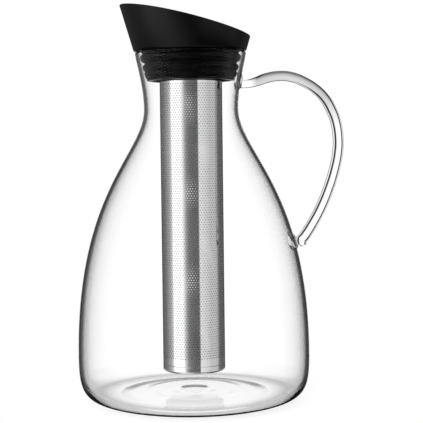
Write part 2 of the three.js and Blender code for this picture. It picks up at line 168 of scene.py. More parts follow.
class FinishColours(bpy.types.PropertyGroup):
    plastic_low: colour("Plastic, darker", "Darker tone of the lid's plastic", "#040404")
    plastic_high: colour("Plastic, lighter", "Lighter tone of the lid's plastic", "#070708")
    silicone_low: colour("Silicone, darker", "Darker tone of the silicone", "#060606")
    silicone_high: colour("Silicone, lighter", "Lighter tone of the silicone", "#0a0a0a")
    steel: colour("Steel", "Colour of the infuser and the hinge pin", "#e6e6e7")
    floor: colour("Floor", "Colour of the board under the tea maker", "#f0f0f0")


class StageSizes(bpy.types.PropertyGroup):
    distance: metres("Distance", "Camera to the carafe's axis", 0.765)
    pitch: degrees("Pitch", "How far the camera looks down", 2.1)
    roll: degrees("Roll", "Lean of the camera", 0.68)
    floor_radius: metres("Floor radius", "Radius of the pale floor", 0.12)


# Helpers


def fill_ramp(ramp, stops):
    while len(ramp.elements) > 1:
        ramp.elements.remove(ramp.elements[-1])
    ramp.elements[0].position = stops[0][0]
    ramp.elements[0].color = (stops[0][1],) * 3 + (1,)
    for position, tone in stops[1:]:
        ramp.elements.new(position).color = (tone,) * 3 + (1,)


def add_node(tree, kind, inputs=(), stops=(), **settings):
    """Adds a node with its settings, and the stops of a colour ramp. Inputs go by their order
    or by name. Each is a value, a socket, or a node, which links from its first output."""
    node = tree.nodes.new(kind)
    for name, value in settings.items():
        setattr(node, name, value)
    if stops:
        fill_ramp(node.color_ramp, stops)
    for name, value in inputs.items() if isinstance(inputs, dict) else enumerate(inputs):
        if isinstance(value, bpy.types.Node):
            value = next(output for output in value.outputs if output.enabled)
        if isinstance(value, bpy.types.NodeSocket):
            tree.links.new(value, node.inputs[name])
        else:
            node.inputs[name].default_value = value
    return node


def new_material(name):
    material = bpy.data.materials.new(name)
    material.use_nodes = True
    material.node_tree.nodes.clear()
    return material


def soften(piece, crease):
    """Shades a piece smooth but for edges sharper than the crease, in degrees."""
    mesh = piece.data
    mesh.polygons.foreach_set("use_smooth", [True] * len(mesh.polygons))
    mesh.set_sharp_from_angle(angle=math.radians(crease))
    mesh.update()


def mesh_piece(name, points, faces):
    """Makes an object at the origin from points and faces."""
    mesh = bpy.data.meshes.new(name)
    mesh.from_pydata([tuple(p) for p in points], [], faces)
    mesh.validate()
    piece = bpy.data.objects.new(name, mesh)
    bpy.context.scene.collection.objects.link(piece)
    return piece


def closed_piece(name, points, faces, crease=CREASE):
    """Makes a closed piece with every face turned outwards."""
    piece = mesh_piece(name, points, faces)
    shape = bmesh.new()
    shape.from_mesh(piece.data)
    bmesh.ops.recalc_face_normals(shape, faces=shape.faces)
    shape.to_mesh(piece.data)
    shape.free()
    soften(piece, crease)
    return piece


def revolve(name, profile, sides, crease=CREASE):
    """Turns a profile of (radius, height) pairs about the carafe's axis. An end on the axis
    is one point, and a profile that starts off the axis closes on itself."""
    points, rings = [], []
    for radius, height in profile:
        if not radius:
            rings.append([len(points)] * sides)
            points.append((AXIS_X, 0, height))
            continue
        rings.append(list(range(len(points), len(points) + sides)))
        points += [(x, y, height) for x, y in round_outline(AXIS_X, 0, radius, sides)]
    closing = rings[:1] if profile[0][0] else []
    faces = []
    for near, far in zip(rings, rings[1:] + closing):
        for i in range(sides):
            j = (i + 1) % sides
            faces.append(list(dict.fromkeys([near[i], near[j], far[j], far[i]])))
    return closed_piece(name, points, faces, crease)


def loft(name, rings, looped, crease=CREASE):
    """Skins a row of rings. A looped row closes on its first ring, an open one gets caps."""
    sides = len(rings[0])
    points = [p for ring in rings for p in ring]
    faces = []
    for i in range(len(rings) if looped else len(rings) - 1):
        near, far = i * sides, (i + 1) % len(rings) * sides
        for j in range(sides):
            k = (j + 1) % sides
            faces.append((near + j, near + k, far + k, far + j))
    if not looped:
        last = (len(rings) - 1) * sides
        faces.append(tuple(range(sides))[::-1])
        faces.append(tuple(range(last, last + sides)))
    return closed_piece(name, points, faces, crease)


def extrude(name, outline, start, depth, plane="XY"):
    """Gives a closed outline a depth along the axis that its plane leaves out."""
    count = len(outline)
    points = [
        (a, b, level) if plane == "XY" else (a, level, b)
        for level in (start, start + depth) for a, b in outline
    ]
    faces = [tuple(range(count)), tuple(range(count, 2 * count))]
    faces += [(i, (i + 1) % count, (i + 1) % count + count, i + count) for i in range(count)]
    return closed_piece(name, points, faces)


def bake(piece, crease=CREASE):
    """Turns a piece's modifiers into its plain mesh."""
    graph = bpy.context.evaluated_depsgraph_get()
    mesh = bpy.data.meshes.new_from_object(piece.evaluated_get(graph))
    piece.modifiers.clear()
    old = piece.data
    piece.data = mesh
    mesh.name = piece.name
    bpy.data.meshes.remove(old)
    soften(piece, crease)
    return piece


def combine(piece, others, operation, crease=CREASE):
    """Joins other closed pieces to one, or cuts them from it, and removes them."""
    for other in others:
        tool = piece.modifiers.new("combine", "BOOLEAN")
        tool.operation = operation
        tool.solver = "EXACT"
        tool.object = other
        bake(piece, crease)
        bpy.data.objects.remove(other)


def bevel(piece, width, segments=3):
    tool = piece.modifiers.new("bevel", "BEVEL")
    tool.width = width
    tool.segments = segments
    tool.limit_method = "ANGLE"
    tool.angle_limit = math.radians(CREASE)
    bake(piece)


def smooth_step(value, low, high):
    share = min(1.0, max(0.0, (value - low) / (high - low)))
    return share * share * (3 - 2 * share)


def bezier(corners, steps):
    """Points on a cubic curve in the plane, both ends included."""
    points = []
    for i in range(steps + 1):
        t = i / steps
        weights = ((1 - t) ** 3, 3 * t * (1 - t) ** 2, 3 * t * t * (1 - t), t ** 3)
        points.append(tuple(sum(w * c[k] for w, c in zip(weights, corners)) for k in (0, 1)))
    return points


def arc(centre, radius, start, end, steps):
    """Points on an arc in the plane, from one angle to the other in degrees."""
    angles = [math.radians(start + (end - start) * i / steps) for i in range(steps + 1)]
    return [(centre[0] + radius * math.cos(a), centre[1] + radius * math.sin(a)) for a in angles]


def round_outline(across, up, radius, steps=32):
    """A circle's points in the plane."""
    angles = [TURN * i / steps for i in range(steps)]
    return [(across + radius * math.cos(a), up + radius * math.sin(a)) for a in angles]


def between(outline, height):
    """The radius and the lean of an outline of (radius, height) pairs at one height."""
    for (r0, z0), (r1, z1) in zip(outline, outline[1:]):
        if z0 <= height <= z1:
            break
    return r0 + (r1 - r0) * (height - z0) / (z1 - z0), math.atan2(r1 - r0, z1 - z0)


def paint(piece, finish):
    piece.data.materials.clear()
    piece.data.materials.append(finish_of(finish))


def dress(piece, finish, body, slot, *nodes):
    """Gives a piece its finish and its body, and hides the nodes it stands for. Its record slot
    is not used.
    """
    paint(piece, finish)
    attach(piece, body)
    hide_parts(*nodes)


# Materials. A map range's inputs are its value, where it starts and ends, and what comes out
# there. A noise's scale is its patterns in a metre.

WHITE = (1.0, 1.0, 1.0, 1.0)
# Where a noise mostly lies
NOISE_RANGE = (0.3, 0.7)
# Slow waves of 25 mm, as blowing leaves them
GLASS_WAVES = 40
# The real grain is finer than 0.1 mm. It is drawn at 0.4 mm, so that it shows.
MOULD_GRAIN = 2600
# Uneven gloss in clouds of 17 mm
GLOSS_CLOUDS = 60
# Bloom in spots of 3 mm
RUBBER_BLOOM = 300
# Draw lines, drawn 0.5 mm apart so that they show, and 25 times as long
DRAW_LINES = 2200
DRAW_STRETCH = (1, 1, 0.04)

# How much light the glass passes, by how squarely the eye meets it: painted shade that draws the
# dark lines along the glass's outline. 0 is square on, 1 along the face.
GLASS_EDGE_SHADE_STOPS = (
    (0.0, 1.0), (0.58, 1.0), (0.68, 0.95), (0.76, 0.72), (0.84, 0.36), (1.0, 0.15),
)
# The floor doesn't darken so: by how level a face lies, and by its height.
FLOOR_LEVELS = (0.15, 0.6)
FLOOR_HEIGHTS = (0.014, 0.026)
FLOOR_CLEAR = 0.7
# Painted shade on the foot's thick corner, drawn darker than the wall: by its distance from the
# axis, by how the eye meets it, and up to its height.
FOOT_CORNER_REACHES = (0.05, 0.062)
FOOT_CORNER_GRAZES = (0.5, 0.7)
FOOT_CORNER_RISE = 0.013
FOOT_CORNER_SHADED_SHARE = 0.1
# Painted shade on the upper side of the handle's bent crown, drawn greyer: by its distance from
# the axis, by its height, and the more it faces up.
HANDLE_CROWN_REACHES = (0.0395, 0.044)
HANDLE_CROWN_LEVELS = (0.18, 0.2)
HANDLE_CROWN_FACINGS = (-0.5, 0.55)
HANDLE_CROWN_SHADED_SHARE = 0.05


def blown_borosilicate_glass():
    """Borosilicate glass, blown and flame polished: clear, with painted shade where the eye looks
    along the wall, on the foot's thick corner and on the upper side of the handle's crown, and
    with slow waves in the surface that bend its edge lines. A dark specular tint keeps the
    studio's reflections faint on it."""
    material = new_material("blown_borosilicate_glass")
    tree = material.node_tree
    place = add_node(tree, "ShaderNodeTexCoord").outputs
    waves = add_node(
        tree, "ShaderNodeTexNoise",
        {"Vector": place["Object"], "Scale": GLASS_WAVES, "Detail": 1.0, "Roughness": 0.4},
    )
    bump = add_node(
        tree, "ShaderNodeBump", {"Height": waves, "Strength": 0.04, "Distance": 0.0005}
    )
    # Painted shade towards the outline, by how squarely the eye meets the glass
    graze = add_node(tree, "ShaderNodeLayerWeight", {"Blend": 0.5}).outputs["Facing"]
    clear = add_node(tree, "ShaderNodeValToRGB", (graze,), GLASS_EDGE_SHADE_STOPS)
    height = add_node(tree, "ShaderNodeSeparateXYZ", (place["Object"],)).outputs["Z"]
    facing = add_node(tree, "ShaderNodeSeparateXYZ", (place["Normal"],)).outputs["Z"]
    off_axis = add_node(
        tree, "ShaderNodeVectorMath", (place["Object"], (AXIS_X, 0, 0)), operation="SUBTRACT"
    )
    level = add_node(tree, "ShaderNodeVectorMath", (off_axis, (1, 1, 0)), operation="MULTIPLY")
    reach = add_node(tree, "ShaderNodeVectorMath", (level,), operation="LENGTH")

    flat = add_node(tree, "ShaderNodeMath", (facing,), operation="ABSOLUTE")
    low = add_node(tree, "ShaderNodeMapRange", (height, *FLOOR_HEIGHTS, FLOOR_CLEAR, 0.0))
    on_floor = add_node(tree, "ShaderNodeMapRange", (flat, *FLOOR_LEVELS, 0.0, low))
    cleared = add_node(
        tree, "ShaderNodeMix", {"Factor": on_floor, "A": clear, "B": WHITE}, data_type="RGBA"
    )
    # Painted shade on the foot's thick corner
    dark = add_node(
        tree, "ShaderNodeMapRange", (graze, *FOOT_CORNER_GRAZES, 1.0, FOOT_CORNER_SHADED_SHARE)
    )
    rise = add_node(
        tree, "ShaderNodeMapRange", (height, 0.0, FOOT_CORNER_RISE, dark, 1.0),
        interpolation_type="SMOOTHSTEP",
    )
    corner = add_node(tree, "ShaderNodeMapRange", (reach, *FOOT_CORNER_REACHES, 1.0, rise))
    # Painted shade on the upper side of the handle's crown
    upward = add_node(
        tree, "ShaderNodeMapRange", (facing, *HANDLE_CROWN_FACINGS, 1.0, HANDLE_CROWN_SHADED_SHARE)
    )
    beyond = add_node(tree, "ShaderNodeMapRange", (reach, *HANDLE_CROWN_REACHES, 1.0, upward))
    crown = add_node(tree, "ShaderNodeMapRange", (height, *HANDLE_CROWN_LEVELS, 1.0, beyond))
    # The painted shades of the foot's corner and the handle's crown, multiplied into the glass's
    # colour
    share = add_node(tree, "ShaderNodeMath", (corner, crown), operation="MULTIPLY")
    passed = add_node(
        tree, "ShaderNodeVectorMath", {0: cleared, "Scale": share}, operation="SCALE"
    )
    glass = add_node(tree, "ShaderNodeBsdfPrincipled", {
        "Base Color": passed, "Roughness": 0.0, "IOR": 1.47, "Transmission Weight": 1.0,
        "Specular Tint": linear("#141414"), "Normal": bump,
    })
    ray = add_node(tree, "ShaderNodeLightPath").outputs
    shade = add_node(tree, "ShaderNodeBsdfTransparent", {"Color": linear("#f6f6f6")})
    mix = add_node(tree, "ShaderNodeMixShader", (ray["Is Shadow Ray"], glass, shade))
    add_node(tree, "ShaderNodeOutputMaterial", {"Surface": mix})
    return material


def moulded_polypropylene():
    """Polypropylene, injection moulded in a spark-eroded tool: black satin, with a fine
    even grain that spreads the highlights, and a little uneven gloss."""
    material = new_material("moulded_black_polypropylene")
    tree = material.node_tree
    colours = bpy.context.scene.tea_colours
    place = add_node(tree, "ShaderNodeTexCoord").outputs["Object"]
    grain = add_node(
        tree, "ShaderNodeTexNoise",
        {"Vector": place, "Scale": MOULD_GRAIN, "Detail": 2.0, "Roughness": 0.6},
    )
    cloud = add_node(
        tree, "ShaderNodeTexNoise",
        {"Vector": place, "Scale": GLOSS_CLOUDS, "Detail": 3.0, "Roughness": 0.5},
    )
    gloss = add_node(tree, "ShaderNodeMapRange", (cloud, *NOISE_RANGE, 0.28, 0.36))
    tone = add_node(
        tree, "ShaderNodeMix",
        {"Factor": cloud, "A": colours.plastic_low, "B": colours.plastic_high},
        data_type="RGBA",
    )
    bump = add_node(
        tree, "ShaderNodeBump", {"Height": grain, "Strength": 0.25, "Distance": 0.00008}
    )
    plastic = add_node(tree, "ShaderNodeBsdfPrincipled", {
        "Base Color": tone, "Roughness": gloss, "IOR": 1.49, "Specular IOR Level": 0.22,
        "Normal": bump,
    })
    add_node(tree, "ShaderNodeOutputMaterial", {"Surface": plastic})
    return material


def moulded_silicone():
    """Silicone rubber, compression moulded: black and soft, with highlights as broad as the
    plastic's but fainter, and a bloom that makes them a little uneven."""
    material = new_material("moulded_black_silicone")
    tree = material.node_tree
    colours = bpy.context.scene.tea_colours
    place = add_node(tree, "ShaderNodeTexCoord").outputs["Object"]
    bloom = add_node(
        tree, "ShaderNodeTexNoise",
        {"Vector": place, "Scale": RUBBER_BLOOM, "Detail": 1.0, "Roughness": 0.5},
    )
    tone = add_node(
        tree, "ShaderNodeMix",
        {"Factor": bloom, "A": colours.silicone_low, "B": colours.silicone_high},
        data_type="RGBA",
    )
    bump = add_node(
        tree, "ShaderNodeBump", {"Height": bloom, "Strength": 0.05, "Distance": 0.00005}
    )
    rubber = add_node(tree, "ShaderNodeBsdfPrincipled", {
        "Base Color": tone, "Roughness": 0.3, "IOR": 1.43, "Specular IOR Level": 0.12,
        "Normal": bump,
    })
    add_node(tree, "ShaderNodeOutputMaterial", {"Surface": rubber})
    return material


def satin_steel(name, roughness):
    """Stainless steel sheet, rolled and drawn: grey with fine lengthwise draw lines that
    pull the reflections into upright bands."""
    material = new_material(name)
    tree = material.node_tree
    colours = bpy.context.scene.tea_colours
    place = add_node(tree, "ShaderNodeTexCoord").outputs["Object"]
    stretch = add_node(tree, "ShaderNodeMapping", {"Vector": place, "Scale": DRAW_STRETCH})
    lines = add_node(
        tree, "ShaderNodeTexNoise",
        {"Vector": stretch, "Scale": DRAW_LINES, "Detail": 3.0, "Roughness": 0.6},
    )
    gloss = add_node(
        tree, "ShaderNodeMapRange", (lines, *NOISE_RANGE, roughness * 0.8, roughness * 1.25)
    )
    bump = add_node(
        tree, "ShaderNodeBump", {"Height": lines, "Strength": 0.12, "Distance": 0.00004}
    )
    steel = add_node(tree, "ShaderNodeBsdfPrincipled", {
        "Base Color": colours.steel, "Metallic": 1.0, "Roughness": gloss, "Normal": bump,
    })
    add_node(tree, "ShaderNodeOutputMaterial", {"Surface": steel})
    return material


MAKERS = {
    "glass": blown_borosilicate_glass,
    "plastic": moulded_polypropylene,
    "silicone": moulded_silicone,
    "mesh_steel": lambda: satin_steel("pierced_stainless_steel", 0.09),
    "cap_steel": lambda: satin_steel("drawn_stainless_steel", 0.05),
}
made = {}


def finish_of(name):
    """The material of that name, made once."""
    if name not in made:
        made[name] = MAKERS[name]()
    return made[name]


# Glass

GLASS_SIDES = 144
GLASS_CREASE = 60
BELL_RISE_SHARE = 0.676
BELL_NECK_SHARE = 0.177
NECK_FLARE_SHARE = 0.4
RIM_FLARE_SHARE = 0.2
FOOT_REACH_SHARE = 0.83
FOOT_RISE_SHARE = 0.83
FOOT_BLEND_SHARE = 0.9
PUSH_UP_BLEND_SHARE = 0.17
# The faint ripple that blowing leaves in the floor's upper face, out to the foot
RIPPLE_HEIGHT = 0.00004
RIPPLE_PITCH = 0.012
RIPPLE_FADE_SHARE = 0.6
# Steps along each length of the glass's outline
CORNER_STEPS = 20
BELL_STEPS = 44
FLARE_STEPS = 14
RIM_STEPS = 8
UNDERSIDE_STEPS = 24
FLOOR_STEPS = 80


def flare_outline(sizes, inset, rim_top, steps):
    """The neck from the waist to the rim, set in from the outer face by `inset`."""
    neck, rim = sizes.neck_radius - inset, sizes.rim_radius - inset
    waist = GLASS_HEIGHT - sizes.neck_drop
    rise = rim_top - waist
    return bezier([
        (neck, waist),
        (neck, waist + NECK_FLARE_SHARE * rise),
        (rim - RIM_FLARE_SHARE * (rim - neck), rim_top - RIM_FLARE_SHARE * rise),
        (rim, rim_top),
    ], steps)


def bell_outline(sizes, inset, floor, rim_top):
    """The bell from the foot to the rim, set in from the outer face by `inset`."""
    foot, belly = sizes.foot_radius, BELLY_RADIUS - inset
    neck = sizes.neck_radius - inset
    waist = GLASS_HEIGHT - sizes.neck_drop
    rise = waist - sizes.belly_height
    corner = bezier([
        (foot, floor),
        (foot + FOOT_REACH_SHARE * (belly - foot), floor),
        (belly, sizes.belly_height - FOOT_RISE_SHARE * (sizes.belly_height - floor)),
        (belly, sizes.belly_height),
    ], CORNER_STEPS)
    bell = bezier([
        (belly, sizes.belly_height),
        (belly, sizes.belly_height + BELL_RISE_SHARE * rise),
        (neck, waist - BELL_NECK_SHARE * rise),
        (neck, waist),
    ], BELL_STEPS)
    return corner + bell[1:] + flare_outline(sizes, inset, rim_top, FLARE_STEPS)[1:]


def floor_ripple(radius, reach):
    """How far the ripple lifts the floor, fading to nothing at the foot."""
    fade = 1 - smooth_step(radius, reach * RIPPLE_FADE_SHARE, reach)
    return RIPPLE_HEIGHT * fade * math.cos(TURN * radius / RIPPLE_PITCH)


def glass_shell(sizes):
    lip = sizes.wall / 2
    rim_top = GLASS_HEIGHT - lip
    foot_inner = sizes.foot_radius - sizes.foot_width
    outer = bell_outline(sizes, 0, 0, rim_top)
    inner = bell_outline(sizes, sizes.wall, sizes.floor, rim_top)
    underside = bezier([
        (0, sizes.push_up),
        (foot_inner / 2, sizes.push_up),
        (foot_inner * FOOT_BLEND_SHARE, sizes.push_up * PUSH_UP_BLEND_SHARE),
        (foot_inner, 0),
    ], UNDERSIDE_STEPS)
    scar = sizes.pontil_radius
    underside = [
        (radius, height + sizes.pontil_depth * (1 - smooth_step(radius, scar / 2, scar)))
        for radius, height in underside
    ]
    inside = bezier([
        (sizes.foot_radius, sizes.floor),
        (foot_inner * FOOT_BLEND_SHARE, sizes.floor),
        (foot_inner / 2, sizes.push_up + sizes.floor),
        (0, sizes.push_up + sizes.floor),
    ], FLOOR_STEPS)
    inside = [(radius, height + floor_ripple(radius, foot_inner)) for radius, height in inside]
    rim = arc((sizes.rim_radius - lip, rim_top), lip, 0, 180, RIM_STEPS)
    profile = underside + outer + rim[1:-1] + inner[::-1] + inside[1:]
    return revolve("carafe_and_handle", profile, GLASS_SIDES, GLASS_CREASE)


# The handle's centre line. Each place is a share of the reach past the waist's radius and of
# the drop from the crown to the lower weld.
HANDLE_PATH_SHARES = (
    (-0.025, 0.957), (0.09, 0.955), (0.18, 0.967), (0.28, 0.987), (0.43, 1.0), (0.55, 0.99),
    (0.66, 0.963), (0.77, 0.922), (0.87, 0.862), (0.93, 0.8), (0.975, 0.73), (1.0, 0.63),
    (0.995, 0.55), (0.96, 0.447), (0.9, 0.335), (0.81, 0.21), (0.715, 0.11), (0.655, 0.056),
    (0.617, 0.024), (0.59, 0.002),
)
HANDLE_LOW_END = 0.101
HANDLE_TOP = 0.2139
HANDLE_SIDES = 28
HANDLE_STEPS = 300
HANDLE_CURVE_STEPS = 16
# Where the rod reaches its full thickness, and where it thickens again for the grip
ROOT_SHARES = (0, 0.12)
GRIP_SHARES = (0.3, 0.5)
# How blunt the rod's melted end is
BLUNT_SHARE = 0.15
WELD_DEPTH = 0.0025
WELD_LENGTH = 0.0025
# The lenses of glass at the welds: their heights, and their depths as shares of the pad's
PADS = ((0.2108, 1.3), (0.1032, 1.5))
PAD_SINK_SHARE = 0.5


def smooth_path(places, steps):
    """Evenly spaced points on a smooth curve through places in the XZ plane."""
    curve = bpy.data.curves.new("path", "CURVE")
    curve.dimensions = "3D"
    spline = curve.splines.new("BEZIER")
    spline.bezier_points.add(len(places) - 1)
    for point, (x, z) in zip(spline.bezier_points, places):
        point.co = (x, 0, z)
        point.handle_left_type = point.handle_right_type = "AUTO"
    curve.resolution_u = HANDLE_CURVE_STEPS
    holder = bpy.data.objects.new("path", curve)
    bpy.context.scene.collection.objects.link(holder)
    graph = bpy.context.evaluated_depsgraph_get()
    mesh = bpy.data.meshes.new_from_object(holder.evaluated_get(graph))
    dense = [v.co.copy() for v in mesh.vertices]
    bpy.data.objects.remove(holder)
    bpy.data.curves.remove(curve)
    bpy.data.meshes.remove(mesh)
    lengths = [0.0]
    for a, b in zip(dense, dense[1:]):
        lengths.append(lengths[-1] + (b - a).length)
    even, k = [], 0
    for i in range(steps + 1):
        want = lengths[-1] * i / steps
        while k < len(lengths) - 2 and lengths[k + 1] < want:
            k += 1
        span = lengths[k + 1] - lengths[k]
        even.append(dense[k].lerp(dense[k + 1], (want - lengths[k]) / span))
    return even, lengths[-1]


def glass_rod(sizes):
    """The handle's rod, thin at the root, thicker in the grip and swollen at both welds."""
    start = sizes.neck_radius
    reach = HANDLE_END_X - AXIS_X - sizes.grip_radius - start
    drop = HANDLE_TOP - HANDLE_LOW_END
    places = [
        (AXIS_X + start + out * reach, HANDLE_LOW_END + up * drop)
        for out, up in HANDLE_PATH_SHARES
    ]
    path, whole = smooth_path(places, HANDLE_STEPS)
    across = Vector((0, 1, 0))
    rings = []
    for i, centre in enumerate(path):
        along = path[min(i + 1, HANDLE_STEPS)] - path[max(i - 1, 0)]
        side = across.cross(along).normalized()
        share = i / HANDLE_STEPS
        from_weld = max(0.0, min(share, 1 - share) * whole - WELD_DEPTH)
        swell = math.exp(-(from_weld / WELD_LENGTH) ** 2)
        rod = sizes.root_radius
        rod += (sizes.rod_radius - sizes.root_radius) * smooth_step(share, *ROOT_SHARES)
        rod += (sizes.grip_radius - sizes.rod_radius) * smooth_step(share, *GRIP_SHARES)
        rounding = max(BLUNT_SHARE, min(1.0, (1 - share) * whole / rod))
        radius = rod * math.sqrt(rounding * (2 - rounding)) + sizes.weld_swell * swell
        rings.append([
            centre + (side * out + across * over) * radius
            for out, over in round_outline(0, 0, 1, HANDLE_SIDES)
        ])
    return loft("rod", rings, False, GLASS_CREASE)


def weld_pad(sizes, height, depth):
    """A lens of glass, sunk in the wall where the rod is melted on."""
    radius, lean = between(bell_outline(sizes, 0, 0, GLASS_HEIGHT), height)
    shape = bmesh.new()
    bmesh.ops.create_uvsphere(shape, u_segments=36, v_segments=24, radius=1)
    shape.transform(
        Matrix.Translation((AXIS_X + radius - PAD_SINK_SHARE * depth, 0, height))
        @ Matrix.Rotation(lean, 4, "Y")
        @ Matrix.Diagonal((depth, sizes.pad_width, sizes.pad_height, 1))
    )
    pad = mesh_piece("pad", [], [])
    shape.to_mesh(pad.data)
    shape.free()
    return pad


class TEA_OT_glass(bpy.types.Operator):
    """Makes the blown carafe with its welded handle as one piece of glass"""

    bl_idname = "tea.glass"
    bl_label = "Carafe and handle"

    def execute(self, context):
        sizes = context.scene.tea_glass
        shell = glass_shell(sizes)
        pads = [weld_pad(sizes, height, sizes.pad_depth * share) for height, share in PADS]
        combine(shell, [*pads, glass_rod(sizes)], "UNION", GLASS_CREASE)
        dress(shell, "glass", "carafe", "borosilicate_glass", "carafe_glass", "handle_glass")
        return {"FINISHED"}


# Lid

COLLAR_SIDES = 160
COLLAR_CREASE = 40
COLLAR_FOOT_ROUND = 0.0012
COLLAR_FOOT_STEPS = 4
COLLAR_OVERHANG = 0.0004
# How far the funnel sits towards the spout on the neck
COLLAR_SHIFT = 0.0003
COLLAR_RIM_STEPS = 8
COLLAR_RIM_ROUND = 0.0006
COLLAR_RIM_SQUARENESS = 0.6
# The rim's crown over the flat cut, higher towards the spout
RIM_CROWN_HEIGHT = 0.0007
RIM_CROWN_LEAN = 0.7
LEDGE_THICKNESS = 0.0014
LEDGE_FILLET = 0.0008


def collar_rings(glass, sizes):
    """The funnel's rings. The rim is a cut that falls from the spout to the back."""
    foot_radius = glass.rim_radius + COLLAR_OVERHANG
    foot = COLLAR_LOW.z
    slope = math.tan(sizes.flare)
    tip = COLLAR_HIGH.z
    back = foot + sizes.back_rise
    tip_x = -(foot_radius + slope * (tip - foot))
    back_x = foot_radius + slope * (back - foot)
    fall = (back - tip) / (back_x - tip_x)
    middle = tip - fall * tip_x
    hold_radius = foot_radius - sizes.collar_wall
    ledge_radius = hold_radius - sizes.ledge_width
    ledge_low = foot + SEAT_GAP + sizes.deck + SEAT_GAP
    ledge_high = ledge_low + LEDGE_THICKNESS

    def rim(angle, inset):
        along = fall * math.cos(angle)
        base = foot_radius - inset - slope * foot
        crown = RIM_CROWN_HEIGHT * math.sin(angle) ** 2
        crown *= 1 - RIM_CROWN_LEAN * math.cos(angle)
        return (middle + along * base) / (1 - along * slope) + crown

    def ring(radius_at, height_at):
        places = []
        for j in range(COLLAR_SIDES):
            angle = TURN * j / COLLAR_SIDES
            height = height_at(angle)
            radius = radius_at(height)
            across = AXIS_X - COLLAR_SHIFT + radius * math.cos(angle)
            places.append(Vector((across, radius * math.sin(angle), height)))
        return places

    def leaning(inset, height_at):
        return ring(lambda z: foot_radius - inset + slope * (z - foot), height_at)

    def plain(radius, height):
        return ring(lambda z: radius, lambda angle: height)

    rings = [plain(hold_radius, foot), plain(foot_radius - COLLAR_FOOT_ROUND, foot)]
    for step in range(1, COLLAR_FOOT_STEPS + 1):
        turn = math.radians(90 * step / COLLAR_FOOT_STEPS)
        inset = COLLAR_FOOT_ROUND * (1 - math.sin(turn))
        height = foot + COLLAR_FOOT_ROUND * (1 - math.cos(turn))
        rings.append(leaning(inset, lambda angle, z=height: z))
    for step in range(COLLAR_RIM_STEPS + 1):
        turn = math.radians(180 * step / COLLAR_RIM_STEPS)
        inset = sizes.collar_wall / 2 * (1 - math.cos(turn))
        drop = COLLAR_RIM_ROUND * (1 - math.sin(turn) ** COLLAR_RIM_SQUARENESS)
        rings.append(leaning(inset, lambda angle, i=inset, d=drop: rim(angle, i) - d))
    rings += [
        leaning(sizes.collar_wall, lambda angle: ledge_high + LEDGE_FILLET),
        leaning(sizes.collar_wall + LEDGE_FILLET, lambda angle: ledge_high),
        plain(ledge_radius, ledge_high),
        plain(ledge_radius, ledge_low),
        plain(hold_radius, ledge_low),
    ]
    return rings


class TEA_OT_collar(bpy.types.Operator):
    """Makes the slanted pouring funnel"""

    bl_idname = "tea.collar"
    bl_label = "Pouring collar"

    def execute(self, context):
        rings = collar_rings(context.scene.tea_glass, context.scene.tea_lid)
        collar = loft("pouring_funnel", rings, True, COLLAR_CREASE)
        dress(collar, "plastic", "lid", "black_plastic", "pouring_collar")
        return {"FINISHED"}


CORE_SIDES = 128
# The boss that the infuser pushes onto: how far it is inside the infuser, and its wall
BOSS_INSET = 0.0011
BOSS_WALL = 0.0018
# The lip at the core's foot, under the sleeve
CORE_LIP_WIDTH = 0.0011
CORE_LIP_HEIGHT = 0.001
# The stiffeners between the boss and the ring wall, under the deck
STIFFENERS = 4
STIFFENER_HEIGHT = 0.008
STIFFENER_THICKNESS = 0.0016
STIFFENER_BITE = 0.0008
# How far a form that is joined on reaches into the deck, and a cutter past it
BITE = 0.001
CUT_MARGIN = 0.002
# The pouring slot on the spout's side: its inset from both walls, and its turn in degrees
SLOT_INSET = 0.0006
SLOT_TURN = (115, 245)
SLOT_STEPS = 48
# The air vents on the handle's side, as turns in degrees
VENT_TURNS = (-24, 0, 24)
VENT_RADIUS = 0.0013
VENT_SIDES = 24
# The hinge. The pin stands out of the lugs a little, and has some play in its bore.
KNUCKLE_RADIUS = 0.0023
LUG_INSET = 0.0005
LUG_WIDTH = 0.0025
LUG_STEPS = 20
PIN_PLAY = 0.00015
# The rounds of the moulded edges
CORE_EDGE = 0.0002
FLAP_EDGE = 0.0004
FACE_EDGE = 0.0003
PIN_EDGE = 0.0002

SLEEVE_RIB_SHARES = (0.26, 0.62, 0.87)
SLEEVE_RIB_HALF_HEIGHT = 0.0026
SLEEVE_TAPER = 0.0008
SLEEVE_LEAST_WALL = 0.0012
SLEEVE_STEPS = 72
SLEEVE_CREASE = 50
# Steps from the waist to the rim for finding the neck's radius at a height
NECK_STEPS = 40


def sleeve_profile(glass, lid, inner):
    """The sleeve from its foot up. Its ribs follow the flare of the neck inside the glass."""
    top, bottom = SLEEVE_HIGH.z, SLEEVE_LOW.z
    height = top - bottom
    neck = flare_outline(glass, glass.wall + SEAT_GAP, GLASS_HEIGHT, NECK_STEPS)
    face = []
    for i in range(SLEEVE_STEPS + 1):
        level = i / SLEEVE_STEPS
        z = top - level * height
        wall = between(neck, min(z, GLASS_HEIGHT))[0] - SLEEVE_TAPER * level ** 2
        nearest = min(abs(share - level) * height for share in SLEEVE_RIB_SHARES)
        bulge = max(0.0, 1 - (nearest / SLEEVE_RIB_HALF_HEIGHT) ** 2)
        radius = wall - lid.rib_bulge + lid.rib_bulge * math.sqrt(bulge)
        face.append((max(inner + SLEEVE_LEAST_WALL, radius), z))
    return [(inner, bottom), *face[::-1], (inner, top)]


def pin_bore():
    """A cutter for the hinge pin's bore, with the pin's play."""
    outline = round_outline(PIN_X, PIN_Z, PIN_RADIUS + PIN_PLAY)
    width = PIN_HIGH.y - PIN_LOW.y + 2 * CUT_MARGIN
    return extrude("bore", outline, PIN_LOW.y - CUT_MARGIN, width, "XZ")


